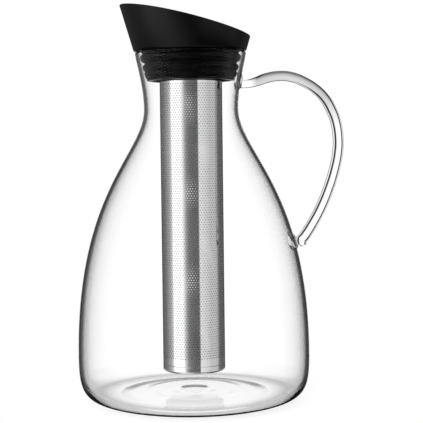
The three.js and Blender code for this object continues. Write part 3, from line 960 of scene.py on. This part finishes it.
class TEA_OT_stopper(bpy.types.Operator):
    """Makes the stopper's core and its ribbed silicone sleeve"""

    bl_idname = "tea.stopper"
    bl_label = "Stopper"

    def execute(self, context):
        glass, lid = context.scene.tea_glass, context.scene.tea_lid
        passage = INFUSER_RADIUS + lid.passage
        core = passage + lid.core_wall
        lip = core + CORE_LIP_WIDTH
        boss = INFUSER_RADIUS - BOSS_INSET
        low, lip_top = CORE_BOTTOM, CORE_BOTTOM + CORE_LIP_HEIGHT
        deck_low = COLLAR_LOW.z + SEAT_GAP
        deck_top = deck_low + lid.deck
        deck_radius = glass.rim_radius - lid.collar_wall - SEAT_GAP
        body = revolve("stopper_moulding", [
            (0, deck_low), (boss - BOSS_WALL, deck_low), (boss - BOSS_WALL, low),
            (boss, low), (boss, deck_low), (passage, deck_low), (passage, low), (lip, low),
            (lip, lip_top), (core, lip_top), (core, deck_low), (deck_radius, deck_low),
            (deck_radius, deck_top), (0, deck_top),
        ], CORE_SIDES)

        added = []
        reach = (boss - BOSS_WALL / 2, passage + STIFFENER_BITE)
        rise = (deck_low - STIFFENER_HEIGHT, deck_low + BITE)
        outline = [
            (reach[0], rise[0]), (reach[1], rise[0]), (reach[1], rise[1]), (reach[0], rise[1]),
        ]
        for i in range(STIFFENERS):
            rib = extrude("rib", outline, -STIFFENER_THICKNESS / 2, STIFFENER_THICKNESS, "XZ")
            turn = Matrix.Rotation(TURN * (i + 0.5) / STIFFENERS, 4, "Z")
            rib.data.transform(Matrix.Translation((AXIS_X, 0, 0)) @ turn)
            added.append(rib)
        for y in (PIN_HIGH.y - LUG_INSET - LUG_WIDTH, PIN_LOW.y + LUG_INSET):
            lug = arc((PIN_X, PIN_Z), KNUCKLE_RADIUS, 0, 180, LUG_STEPS)
            lug += [(PIN_X + side * KNUCKLE_RADIUS, deck_top - BITE) for side in (-1, 1)]
            added.append(extrude("lug", lug, y, LUG_WIDTH, "XZ"))
        combine(body, added, "UNION")

        start, depth = deck_low - CUT_MARGIN, lid.deck + 2 * CUT_MARGIN
        slot = arc((AXIS_X, 0), passage - SLOT_INSET, *SLOT_TURN, SLOT_STEPS)
        slot += arc((AXIS_X, 0), boss + SLOT_INSET, *SLOT_TURN, SLOT_STEPS)[::-1]
        cutters = [extrude("slot", slot, start, depth)]
        for turn in map(math.radians, VENT_TURNS):
            out = (boss + passage) / 2
            across, over = AXIS_X + out * math.cos(turn), out * math.sin(turn)
            vent = round_outline(across, over, VENT_RADIUS, VENT_SIDES)
            cutters.append(extrude("vent", vent, start, depth))
        combine(body, [*cutters, pin_bore()], "DIFFERENCE")
        bevel(body, CORE_EDGE, 2)
        dress(body, "plastic", "lid", "black_plastic", "stopper_core")

        profile = sleeve_profile(glass, lid, core + SEAT_GAP)
        sleeve = revolve("ribbed_sleeve", profile, CORE_SIDES, SLEEVE_CREASE)
        dress(sleeve, "silicone", "lid", "black_silicone", "stopper_sleeve")
        paint(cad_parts["infuser_seal_ring"], "silicone")
        return {"FINISHED"}


# Flap

FLAP_STEPS = 72
FLAP_THICKNESS = 0.0016
BARREL_WIDTH = 0.003
BARREL_SIDES = 40
# How far the hinge arms reach onto the plate
ARM_REACH = 0.002


def flap_outline(radius, edge_x):
    """A flat-sided segment of a disc about the carafe's axis, on the spout's side."""
    half = math.degrees(math.acos(-(edge_x - AXIS_X) / radius))
    return arc((AXIS_X, 0), radius, 180 - half, 180 + half, FLAP_STEPS)


class TEA_OT_flap(bpy.types.Operator):
    """Makes the drip flap, its silicone face and its hinge pin"""

    bl_idname = "tea.flap"
    bl_label = "Drip flap"

    def execute(self, context):
        low = SEAL_HIGH.z + SEAT_GAP
        edge = PIN_X - KNUCKLE_RADIUS - 2 * SEAT_GAP
        outline = flap_outline(AXIS_X - FLAP_LOW.x, edge)
        plate = extrude("drip_flap", outline, low, FLAP_THICKNESS)
        bevel(plate, FLAP_EDGE)
        arm = [
            (edge - ARM_REACH, low), (PIN_X, low), (PIN_X, PIN_Z), (FLAP_HIGH.x, PIN_Z),
            (FLAP_HIGH.x, PIN_Z + FLAP_THICKNESS), (PIN_X, PIN_Z + FLAP_THICKNESS),
            (edge - ARM_REACH, low + FLAP_THICKNESS),
        ]
        barrel = round_outline(PIN_X, PIN_Z, KNUCKLE_RADIUS, BARREL_SIDES)
        inner = PIN_HIGH.y - LUG_INSET - LUG_WIDTH - SEAT_GAP - BARREL_WIDTH
        for y in (inner, -inner - BARREL_WIDTH):
            for name, shape in (("barrel", barrel), ("arm", arm)):
                combine(plate, [extrude(name, shape, y, BARREL_WIDTH, "XZ")], "UNION")
        combine(plate, [pin_bore()], "DIFFERENCE")
        dress(plate, "plastic", "flap", "black_plastic", "pour_flap")

        outline = flap_outline(AXIS_X - SEAL_LOW.x, SEAL_HIGH.x)
        seal = extrude("flap_face", outline, SEAL_LOW.z, SEAL_HIGH.z - SEAL_LOW.z)
        bevel(seal, FACE_EDGE)
        dress(seal, "silicone", "flap", "black_silicone", "flap_seal")

        outline = round_outline(PIN_X, PIN_Z, PIN_RADIUS)
        pin = extrude("hinge_pin", outline, PIN_LOW.y, PIN_HIGH.y - PIN_LOW.y, "XZ")
        bevel(pin, PIN_EDGE, 2)
        dress(pin, "cap_steel", "lid", "stainless_steel", "flap_hinge_pin")
        return {"FINISHED"}


# Infuser

PIERCED_INPUTS = {
    "Columns": "Int", "Rows": "Int", "Radius": "Float", "Row Height": "Float",
    "Hole Radius": "Float", "Low Band": "Float", "High Band": "Float", "Bottom": "Float",
    "Axis X": "Float", "Material": "Material",
}
# The sums behind the sheet: a name, an operation and its terms. A term is a number, an input,
# X or Y of a point's place, Index, or an earlier sum.
PIERCED_SUMS = (
    ("around", "MULTIPLY", "Radius", TURN),
    ("half around", "DIVIDE", "around", 2),
    ("width", "DIVIDE", "around", "Columns"),
    # A corner of the hexagon moves to a corner of its brick, or to the middle of a side.
    ("rounded", "ROUND", "X"),
    ("side", "SIGN", "rounded"),
    ("up", "SIGN", "Y"),
    ("half width", "DIVIDE", "width", 2),
    ("half height", "DIVIDE", "Row Height", 2),
    ("brick x", "MULTIPLY", "side", "half width"),
    ("brick y", "MULTIPLY", "up", "half height"),
    # The bricks' places, with every second row moved by half a brick
    ("counted", "ADD", "Index", 0.5),
    ("rows below", "DIVIDE", "counted", "Columns"),
    ("row", "FLOOR", "rows below"),
    ("earlier", "MULTIPLY", "row", "Columns"),
    ("column", "SUBTRACT", "Index", "earlier"),
    ("odd", "FLOORED_MODULO", "row", 2),
    ("shift", "MULTIPLY", "odd", 0.5),
    ("shifted", "ADD", "column", "shift"),
    ("lay x", "MULTIPLY", "shifted", "width"),
    ("row middle", "ADD", "row", 0.5),
    ("lay y", "MULTIPLY", "row middle", "Row Height"),
    ("count", "MULTIPLY", "Rows", "Columns"),
    # The plain bands, cut at every half brick
    ("half bricks", "MULTIPLY", "Columns", 2),
    ("cuts", "ADD", "half bricks", 1),
    ("full", "MULTIPLY", "Rows", "Row Height"),
    ("low middle", "DIVIDE", "Low Band", -2),
    ("half high", "DIVIDE", "High Band", 2),
    ("high middle", "ADD", "full", "half high"),
    # The sheet, rolled round the axis
    ("angle", "DIVIDE", "X", "Radius"),
    ("cosine", "COSINE", "angle"),
    ("sine", "SINE", "angle"),
    ("out", "MULTIPLY", "cosine", "Radius"),
    ("roll x", "ADD", "out", "Axis X"),
    ("roll y", "MULTIPLY", "sine", "Radius"),
    ("roll z", "ADD", "Y", "Bottom"),
)
# The distance within which the bricks' and bands' points are merged
MERGE_GAP = 0.00002
HOLE_SIDES = 6
HOLE_TURN = math.radians(30)
TUBE_CREASE = 40


def pierced_tree():
    """Geometry Nodes that lay bricks with a six-sided hole in rows, add a plain band at each
    end, and roll the sheet into a tube about an upright axis."""
    tree = bpy.data.node_groups.new("pierced_sheet", "GeometryNodeTree")
    for way in ("OUTPUT", "INPUT"):
        tree.interface.new_socket("Geometry", in_out=way, socket_type="NodeSocketGeometry")
    for name, kind in PIERCED_INPUTS.items():
        tree.interface.new_socket(name, in_out="INPUT", socket_type=f"NodeSocket{kind}")
    given = add_node(tree, "NodeGroupInput").outputs
    place = add_node(tree, "GeometryNodeInputPosition")
    parts = add_node(tree, "ShaderNodeSeparateXYZ", (place,)).outputs
    terms = {name: given[name] for name in PIERCED_INPUTS}
    terms |= {"X": parts["X"], "Y": parts["Y"], "Index": add_node(tree, "GeometryNodeInputIndex")}
    for name, operation, *values in PIERCED_SUMS:
        values = [terms[value] if isinstance(value, str) else value for value in values]
        terms[name] = add_node(tree, "ShaderNodeMath", values, operation=operation)

    # One brick: a hexagon whose corners are pushed out to the brick's edge, and whose inset
    # copy makes the hole.
    circle = add_node(
        tree, "GeometryNodeMeshCircle", {"Vertices": HOLE_SIDES, "Radius": 1.0},
        fill_type="NGON",
    )
    turned = add_node(
        tree, "GeometryNodeTransform", {"Geometry": circle, "Rotation": (0, 0, HOLE_TURN)}
    )
    kept = add_node(tree, "GeometryNodeCaptureAttribute", domain="POINT")
    kept.capture_items.new("VECTOR", "Corner")
    tree.links.new(turned.outputs["Geometry"], kept.inputs["Geometry"])
    tree.links.new(place.outputs["Position"], kept.inputs["Corner"])
    brick = add_node(tree, "ShaderNodeCombineXYZ", (terms["brick x"], terms["brick y"]))
    squared = add_node(tree, "GeometryNodeSetPosition", {"Geometry": kept, "Position": brick})
    inset = add_node(
        tree, "GeometryNodeExtrudeMesh",
        {"Mesh": squared, "Offset Scale": 0.0, "Individual": True}, mode="FACES",
    )
    hole = add_node(
        tree, "ShaderNodeVectorMath",
        {0: kept.outputs["Corner"], "Scale": given["Hole Radius"]}, operation="SCALE",
    )
    shaped = add_node(
        tree, "GeometryNodeSetPosition",
        {"Geometry": inset, "Selection": inset.outputs["Top"], "Position": hole},
    )
    tile = add_node(
        tree, "GeometryNodeDeleteGeometry",
        {"Geometry": shaped, "Selection": inset.outputs["Top"]},
        domain="FACE", mode="ONLY_FACE",
    )

    # The sheet: the wall of bricks, then the low band and the high band
    laid = add_node(tree, "ShaderNodeCombineXYZ", (terms["lay x"], terms["lay y"]))
    points = add_node(tree, "GeometryNodePoints", {"Count": terms["count"], "Position": laid})
    bricks = add_node(tree, "GeometryNodeInstanceOnPoints", {"Points": points, "Instance": tile})
    wall = add_node(tree, "GeometryNodeRealizeInstances", (bricks,))
    sheet = add_node(tree, "GeometryNodeJoinGeometry", (wall,))
    for band, middle in (("Low Band", "low middle"), ("High Band", "high middle")):
        strip = add_node(tree, "GeometryNodeMeshGrid", {
            "Size X": terms["around"], "Size Y": given[band], "Vertices X": terms["cuts"],
            "Vertices Y": 2,
        })
        lift = add_node(tree, "ShaderNodeCombineXYZ", (terms["half around"], terms[middle]))
        moved = add_node(tree, "GeometryNodeTransform", {"Geometry": strip, "Translation": lift})
        tree.links.new(moved.outputs["Geometry"], sheet.inputs["Geometry"])

    rolled = add_node(
        tree, "ShaderNodeCombineXYZ", (terms["roll x"], terms["roll y"], terms["roll z"])
    )
    tube = add_node(tree, "GeometryNodeSetPosition", {"Geometry": sheet, "Position": rolled})
    welded = add_node(
        tree, "GeometryNodeMergeByDistance", {"Geometry": tube, "Distance": MERGE_GAP}
    )
    real = add_node(tree, "GeometryNodeRealizeInstances", (welded,))
    painted = add_node(
        tree, "GeometryNodeSetMaterial", {"Geometry": real, "Material": given["Material"]}
    )
    add_node(tree, "NodeGroupOutput", (painted,))
    return tree


def pierced_length(name, tree, values, sheet):
    """One length of the pierced tube, with the sheet's thickness inwards."""
    holder = mesh_piece(name, [(0, 0, 0)], [])
    nodes = holder.modifiers.new("pierced", "NODES")
    nodes.node_group = tree
    for item in tree.interface.items_tree:
        if item.in_out == "INPUT" and item.name in values:
            nodes[item.identifier] = values[item.name]
    thick = holder.modifiers.new("thickness", "SOLIDIFY")
    thick.thickness = sheet
    thick.offset = -1
    thick.use_even_offset = True
    return bake(holder, TUBE_CREASE)


class TEA_OT_infuser_mesh(bpy.types.Operator):
    """Makes the pierced steel tube, in two lengths"""

    bl_idname = "tea.infuser_mesh"
    bl_label = "Pierced tube"

    def execute(self, context):
        sizes = context.scene.tea_infuser
        bottom = TUBE_LOW.z + sizes.low_band
        pierced = TUBE_HIGH.z - TUBE_LOW.z - sizes.low_band - sizes.high_band
        pitch = TURN * INFUSER_RADIUS / sizes.columns
        rows = 2 * round(pierced / (pitch * math.sqrt(3)))
        row_height = pierced / rows
        lower_rows = 2 * (rows // 4)
        seam = bottom + lower_rows * row_height
        tree = pierced_tree()
        shared = {
            "Columns": sizes.columns, "Radius": INFUSER_RADIUS, "Row Height": row_height,
            "Hole Radius": sizes.hole_share * pitch / 2, "Axis X": AXIS_X,
            "Material": finish_of("mesh_steel"),
        }
        lower = {"Rows": lower_rows, "Bottom": bottom, "Low Band": sizes.low_band,
                 "High Band": 0.0}
        upper = {"Rows": rows - lower_rows, "Bottom": seam, "Low Band": 0.0,
                 "High Band": sizes.high_band}
        for name, own in (("pierced_tube_lower", lower), ("pierced_tube_upper", upper)):
            piece = pierced_length(name, tree, shared | own, sizes.sheet)
            dress(piece, "mesh_steel", "infuser", "stainless_steel", "infuser_tube")
        return {"FINISHED"}


CAP_SIDES = 128
CAP_CREASE = 40
CAP_WALL = 0.0006
CAP_CORNER = 0.0014
CAP_CHAMFER = 0.0002
# The play of the cap's spigot in the tube
SPIGOT_PLAY = 0.00015


class TEA_OT_infuser_cap(bpy.types.Operator):
    """Makes the drawn steel cup that closes the tube"""

    bl_idname = "tea.infuser_cap"
    bl_label = "End cap"

    def execute(self, context):
        low, top = CAP_LOW.z, TUBE_LOW.z - SEAT_GAP
        radius = INFUSER_RADIUS
        spigot = radius - context.scene.tea_infuser.sheet - SPIGOT_PLAY
        hollow = spigot - CAP_WALL
        inset = CAP_CORNER - CAP_WALL
        outer = arc((radius - CAP_CORNER, low + CAP_CORNER), CAP_CORNER, -90, 0, steps=12)
        inner = arc((hollow - inset, low + CAP_WALL + inset), inset, 0, -90, steps=10)
        profile = [
            (0, low), *outer, (radius, top - CAP_CHAMFER), (radius - CAP_CHAMFER, top),
            (spigot, top), (spigot, CAP_HIGH.z), (hollow, CAP_HIGH.z), *inner,
            (0, low + CAP_WALL),
        ]
        cap = revolve("infuser_cup", profile, CAP_SIDES, CAP_CREASE)
        dress(cap, "cap_steel", "infuser", "stainless_steel", "infuser_end_cap")
        return {"FINISHED"}


# Stage

# Brightness of the room round the object for reflections, as shares of the soft box's. The
# turn runs from the far side, 0, past the handle's side, 0.25, the camera's, 0.5, and the
# spout's, 0.75, to the far side again.
ROOM_STOPS = (
    (0.0, 0.66), (0.03, 0.66), (0.042, 0.03), (0.07, 0.04), (0.1, 0.1), (0.158, 0.09),
    (0.2, 0.13), (0.225, 0.37), (0.258, 0.43), (0.311, 0.44), (0.358, 0.54), (0.426, 0.64),
    (0.436, 0.09), (0.485, 0.1), (0.525, 0.13), (0.55, 0.19), (0.567, 0.31), (0.588, 0.63),
    (0.608, 0.93), (0.712, 1.0), (0.722, 0.56), (0.756, 0.31), (0.79, 0.24), (0.821, 0.15),
    (0.91, 0.1), (0.935, 0.04), (0.958, 0.03), (0.97, 0.66), (1.0, 0.66),
)
# The same for the table round the object, which the leaning lid reflects
TABLE_STOPS = (
    (0.0, 0.02), (0.36, 0.0), (0.46, 0.04), (0.54, 0.42), (0.61, 0.7), (0.68, 0.44),
    (0.76, 0.04), (1.0, 0.02),
)
SOFT_BOX_LEVEL = 1.5
# Light through the glass: a wide window at each straight view, a narrow one between, and dark
# gaps, four times round
WINDOW_STOPS = (
    (0.0, 1.0), (0.15, 1.0), (0.18, 0.8), (0.215, 0.2), (0.24, 0.03), (0.36, 0.04),
    (0.4, 0.9), (0.6, 0.9), (0.64, 0.04), (0.76, 0.03), (0.785, 0.2), (0.82, 0.8),
    (0.85, 1.0), (1.0, 1.0),
)
WINDOWS_ROUND = 4
WINDOW_LEVEL = 1.05
# By the height of the direction, where 0 is straight down, 0.5 level and 1 straight up: where
# reflections see the table, how bright light through the glass is, where a steep reflection
# sees a grey field, and where no gaps are
BELOW_STOPS = ((0.0, 1.0), (0.31, 1.0), (0.34, 0.0), (1.0, 0.0))
LOW_STOPS = (
    (0.0, 0.5), (0.06, 0.55), (0.15, 0.85), (0.3, 0.88), (0.36, 0.9), (0.382, 0.97), (0.4, 1.0),
    (0.87, 1.0), (0.89, 0.06), (1.0, 0.06),
)
STEEP_STOPS = ((0.0, 0.0), (0.012, 0.0), (0.03, 1.0), (0.06, 1.0), (0.08, 0.0), (1.0, 0.0))
STEEP_LEVEL = 0.6
TOP_STOPS = ((0.0, 0.0), (0.7, 0.0), (0.8, 1.0), (1.0, 1.0))
# Light that has passed both walls of the body, four faces in all, has no gaps: it goes nearly
# straight, so the inside of the jug stays white from every side. Only what the melted welds
# bend upwards meets a dark field. The faces come with their tolerance.
BOTH_WALLS = (4.0, 0.5)
BOTH_WALLS_STOPS = ((0.0, 1.0), (0.56, 1.0), (0.62, 0.05), (1.0, 0.05))
DIFFUSE_LEVEL = 0.5


def studio_world():
    """A white room to the camera, and an even one to matt faces. Reflections see a soft box
    on the spout's side and a dimmer one on the handle's, and light that comes through glass
    sees windows with dark gaps, so that clear edges have a line."""
    world = bpy.data.worlds.new("studio_room")
    world.use_nodes = True
    tree = world.node_tree
    tree.nodes.clear()
    way = add_node(tree, "ShaderNodeTexCoord").outputs["Generated"]
    parts = add_node(tree, "ShaderNodeSeparateXYZ", (way,)).outputs
    angle = add_node(tree, "ShaderNodeMath", (parts["X"], parts["Y"]), operation="ARCTAN2")
    turn = add_node(tree, "ShaderNodeMath", (angle, TURN), operation="DIVIDE")
    around = add_node(tree, "ShaderNodeMath", (turn, 1.0), operation="FLOORED_MODULO")
    lifted = add_node(tree, "ShaderNodeMath", (parts["Z"], 0.5, 0.5), operation="MULTIPLY_ADD")

    below, steep, top, low, plain = [
        add_node(tree, "ShaderNodeValToRGB", (lifted,), stops)
        for stops in (BELOW_STOPS, STEEP_STOPS, TOP_STOPS, LOW_STOPS, BOTH_WALLS_STOPS)
    ]
    room, table = [
        add_node(tree, "ShaderNodeValToRGB", (around,), stops)
        for stops in (ROOM_STOPS, TABLE_STOPS)
    ]
    shown = add_node(tree, "ShaderNodeMix", {"Factor": below, "A": room, "B": table})
    shown = add_node(tree, "ShaderNodeMix", {"Factor": steep, "A": shown, "B": STEEP_LEVEL})
    reflected = add_node(tree, "ShaderNodeMath", (shown, SOFT_BOX_LEVEL), operation="MULTIPLY")

    cells = add_node(tree, "ShaderNodeMath", (around, WINDOWS_ROUND), operation="MULTIPLY")
    cell = add_node(tree, "ShaderNodeMath", (cells,), operation="FRACT")
    windows = add_node(tree, "ShaderNodeValToRGB", (cell,), WINDOW_STOPS)
    open_sky = add_node(tree, "ShaderNodeMath", (windows, top), operation="MAXIMUM")
    gapped = add_node(tree, "ShaderNodeMath", (open_sky, low), operation="MULTIPLY")
    ray = add_node(tree, "ShaderNodeLightPath").outputs
    straight = add_node(
        tree, "ShaderNodeMath", (ray["Transmission Depth"], *BOTH_WALLS), operation="COMPARE"
    )
    passed = add_node(tree, "ShaderNodeMix", {"Factor": straight, "A": gapped, "B": plain})
    through = add_node(tree, "ShaderNodeMath", (passed, WINDOW_LEVEL), operation="MULTIPLY")

    seen = DIFFUSE_LEVEL
    for kind, level in (
        ("Transmission Depth", through), ("Glossy Depth", reflected),
        ("Diffuse Depth", DIFFUSE_LEVEL), ("Is Camera Ray", 1.0),
    ):
        seen = add_node(tree, "ShaderNodeMix", {"Factor": ray[kind], "A": seen, "B": level})
    light = add_node(tree, "ShaderNodeBackground", {"Color": seen, "Strength": 1.0})
    add_node(tree, "ShaderNodeOutputWorld", {"Surface": light})
    return world


FLOOR_SIDES = 96
FLOOR_GAP = 0.0002
# Where the floor fades to plain white, as shares of its radius. Through glass it is partly
# white from its middle on.
FLOOR_FADE_SHARES = (0.35, 0.95)
FLOOR_LEAST_WHITE = 0.75
FLOOR_GLOW = 0.5
# How far the floor is hidden from reflections inside the glass, by the distance from the
# axis in tenths of a metre. The foot's corner needs it, the steel doesn't. Such a ray has
# passed one to five faces: their middle, and the tolerance.
FLOOR_HIDDEN_STOPS = ((0.0, 1.0), (0.42, 1.0), (0.5, 0.4), (0.75, 0.4), (0.85, 1.0), (1.0, 1.0))
TENTHS = 10.0
INSIDE_GLASS = (3.0, 2.25)


def floor_material(radius):
    """Matt white paint on a board. It keeps the object's soft shadow, fades to plain white
    at its edge, and shows a little darker through glass. Polished parts don't mirror it."""
    material = new_material("matt_white_board")
    tree = material.node_tree
    colours = bpy.context.scene.tea_colours
    place = add_node(tree, "ShaderNodeTexCoord").outputs["Object"]
    off_axis = add_node(
        tree, "ShaderNodeVectorMath", (place, (AXIS_X, 0, 0)), operation="SUBTRACT"
    )
    reach = add_node(tree, "ShaderNodeVectorMath", (off_axis,), operation="LENGTH")
    ray = add_node(tree, "ShaderNodeLightPath").outputs
    least = add_node(
        tree, "ShaderNodeMapRange", (ray["Is Camera Ray"], 0, 1, FLOOR_LEAST_WHITE, 0)
    )
    start, end = (radius * share for share in FLOOR_FADE_SHARES)
    fade = add_node(tree, "ShaderNodeMapRange", (reach, start, end, least, 1.0))
    board = add_node(tree, "ShaderNodeBsdfDiffuse", {"Color": colours.floor})
    glow = add_node(tree, "ShaderNodeEmission", {"Color": WHITE, "Strength": FLOOR_GLOW})
    both = add_node(tree, "ShaderNodeAddShader", (board, glow))
    plain = add_node(tree, "ShaderNodeEmission", {"Color": WHITE, "Strength": 1.0})
    faded = add_node(tree, "ShaderNodeMixShader", (fade, both, plain))
    direct = add_node(
        tree, "ShaderNodeMath", (ray["Is Camera Ray"], ray["Is Transmission Ray"]),
        operation="MAXIMUM",
    )
    shown = add_node(tree, "ShaderNodeMixShader", (direct, board, faded))
    in_glass = add_node(
        tree, "ShaderNodeMath", (ray["Transmission Depth"], *INSIDE_GLASS), operation="COMPARE"
    )
    tenths = add_node(tree, "ShaderNodeMath", (reach, TENTHS), operation="MULTIPLY")
    under = add_node(tree, "ShaderNodeValToRGB", (tenths,), FLOOR_HIDDEN_STOPS)
    most = add_node(tree, "ShaderNodeMapRange", (in_glass, 0, 1, 1, under))
    hidden = add_node(tree, "ShaderNodeMapRange", (ray["Glossy Depth"], 0, 1, 0, most))
    gone = add_node(tree, "ShaderNodeBsdfTransparent")
    kept = add_node(tree, "ShaderNodeMixShader", (hidden, shown, gone))
    add_node(tree, "ShaderNodeOutputMaterial", {"Surface": kept})
    return material


SENSOR_MM = 36
CLIP_START = 0.01
# Each soft box's name, place, width and power
SOFT_BOXES = (
    ("left_soft_box", (-0.95, -0.75, 0.55), 0.7, 8.0),
    ("top_soft_box", (0.0, 0.1, 1.25), 1.6, 2.0),
)


def photo_camera(sizes):
    """A camera whose shift, height and side step put the carafe where the picture has it."""
    centre_px = IMAGE_SIDE / 2
    data = bpy.data.cameras.new("camera")
    data.sensor_width = SENSOR_MM
    data.lens = SENSOR_MM * FOCAL_PX / IMAGE_SIDE
    data.clip_start = CLIP_START
    shift_px = centre_px - HORIZON_PX - FOCAL_PX * math.tan(sizes.pitch)
    data.shift_y = -shift_px / IMAGE_SIDE
    base_angle = math.atan((BASE_PX - centre_px + shift_px) / FOCAL_PX) + sizes.pitch
    side = (centre_px - AXIS_PX) / FOCAL_PX * sizes.distance
    camera = bpy.data.objects.new("camera", data)
    camera.location = (AXIS_X + side, -sizes.distance, sizes.distance * math.tan(base_angle))
    camera.rotation_euler = (math.radians(90) - sizes.pitch, sizes.roll, 0)
    return camera


class TEA_OT_stage(bpy.types.Operator):
    """Makes the camera, the soft light and the pale floor"""

    bl_idname = "tea.stage"
    bl_label = "Stage"

    def execute(self, context):
        scene = context.scene
        sizes = scene.tea_stage
        camera = photo_camera(sizes)
        scene.collection.objects.link(camera)
        scene.camera = camera
        target = Vector((AXIS_X, 0, GLASS_HEIGHT / 2))
        for name, place, width, power in SOFT_BOXES:
            lamp = bpy.data.lights.new(name, "AREA")
            lamp.shape = "DISK"
            lamp.size = width
            lamp.energy = power
            holder = bpy.data.objects.new(name, lamp)
            scene.collection.objects.link(holder)
            holder.location = place
            holder.rotation_mode = "QUATERNION"
            holder.rotation_quaternion = (target - Vector(place)).to_track_quat("-Z", "Y")
            holder.visible_camera = False
            holder.visible_glossy = False
            holder.visible_transmission = False
        scene.world = studio_world()
        rim = round_outline(AXIS_X, 0, sizes.floor_radius, FLOOR_SIDES)
        floor = mesh_piece(
            "floor", [(x, y, -FLOOR_GAP) for x, y in rim], [tuple(range(FLOOR_SIDES))]
        )
        floor.data.materials.append(floor_material(sizes.floor_radius))
        scene.view_settings.view_transform = "Standard"
        return {"FINISHED"}


GROUPS = {
    "tea_glass": GlassSizes,
    "tea_lid": LidSizes,
    "tea_infuser": InfuserSizes,
    "tea_colours": FinishColours,
    "tea_stage": StageSizes,
}
STEPS = (
    TEA_OT_stage, TEA_OT_glass, TEA_OT_collar, TEA_OT_stopper, TEA_OT_flap,
    TEA_OT_infuser_mesh, TEA_OT_infuser_cap,
)


class TEA_PT_panel(bpy.types.Panel):
    """Lists the steps that dress the iced tea maker"""

    bl_label = "Iced tea maker"
    bl_idname = "TEA_PT_panel"
    bl_space_type = "VIEW_3D"
    bl_region_type = "UI"
    bl_category = "Tea maker"

    def draw(self, context):
        for step in STEPS:
            self.layout.operator(step.bl_idname)
        for name in GROUPS:
            group = getattr(context.scene, name)
            box = self.layout.box()
            for key in group.__annotations__:
                box.prop(group, key)


def register():
    for name, group in GROUPS.items():
        bpy.utils.register_class(group)
        setattr(bpy.types.Scene, name, bpy.props.PointerProperty(type=group))
    for item in (*STEPS, TEA_PT_panel):
        bpy.utils.register_class(item)


def unregister():
    for item in (TEA_PT_panel, *reversed(STEPS)):
        bpy.utils.unregister_class(item)
    for name, group in GROUPS.items():
        delattr(bpy.types.Scene, name)
        bpy.utils.unregister_class(group)


def main():
    register()
    bpy.ops.tea.stage()
    bpy.ops.tea.glass()
    bpy.ops.tea.collar()
    bpy.ops.tea.stopper()
    bpy.ops.tea.flap()
    bpy.ops.tea.infuser_mesh()
    bpy.ops.tea.infuser_cap()


if __name__ == "__main__":
    main()
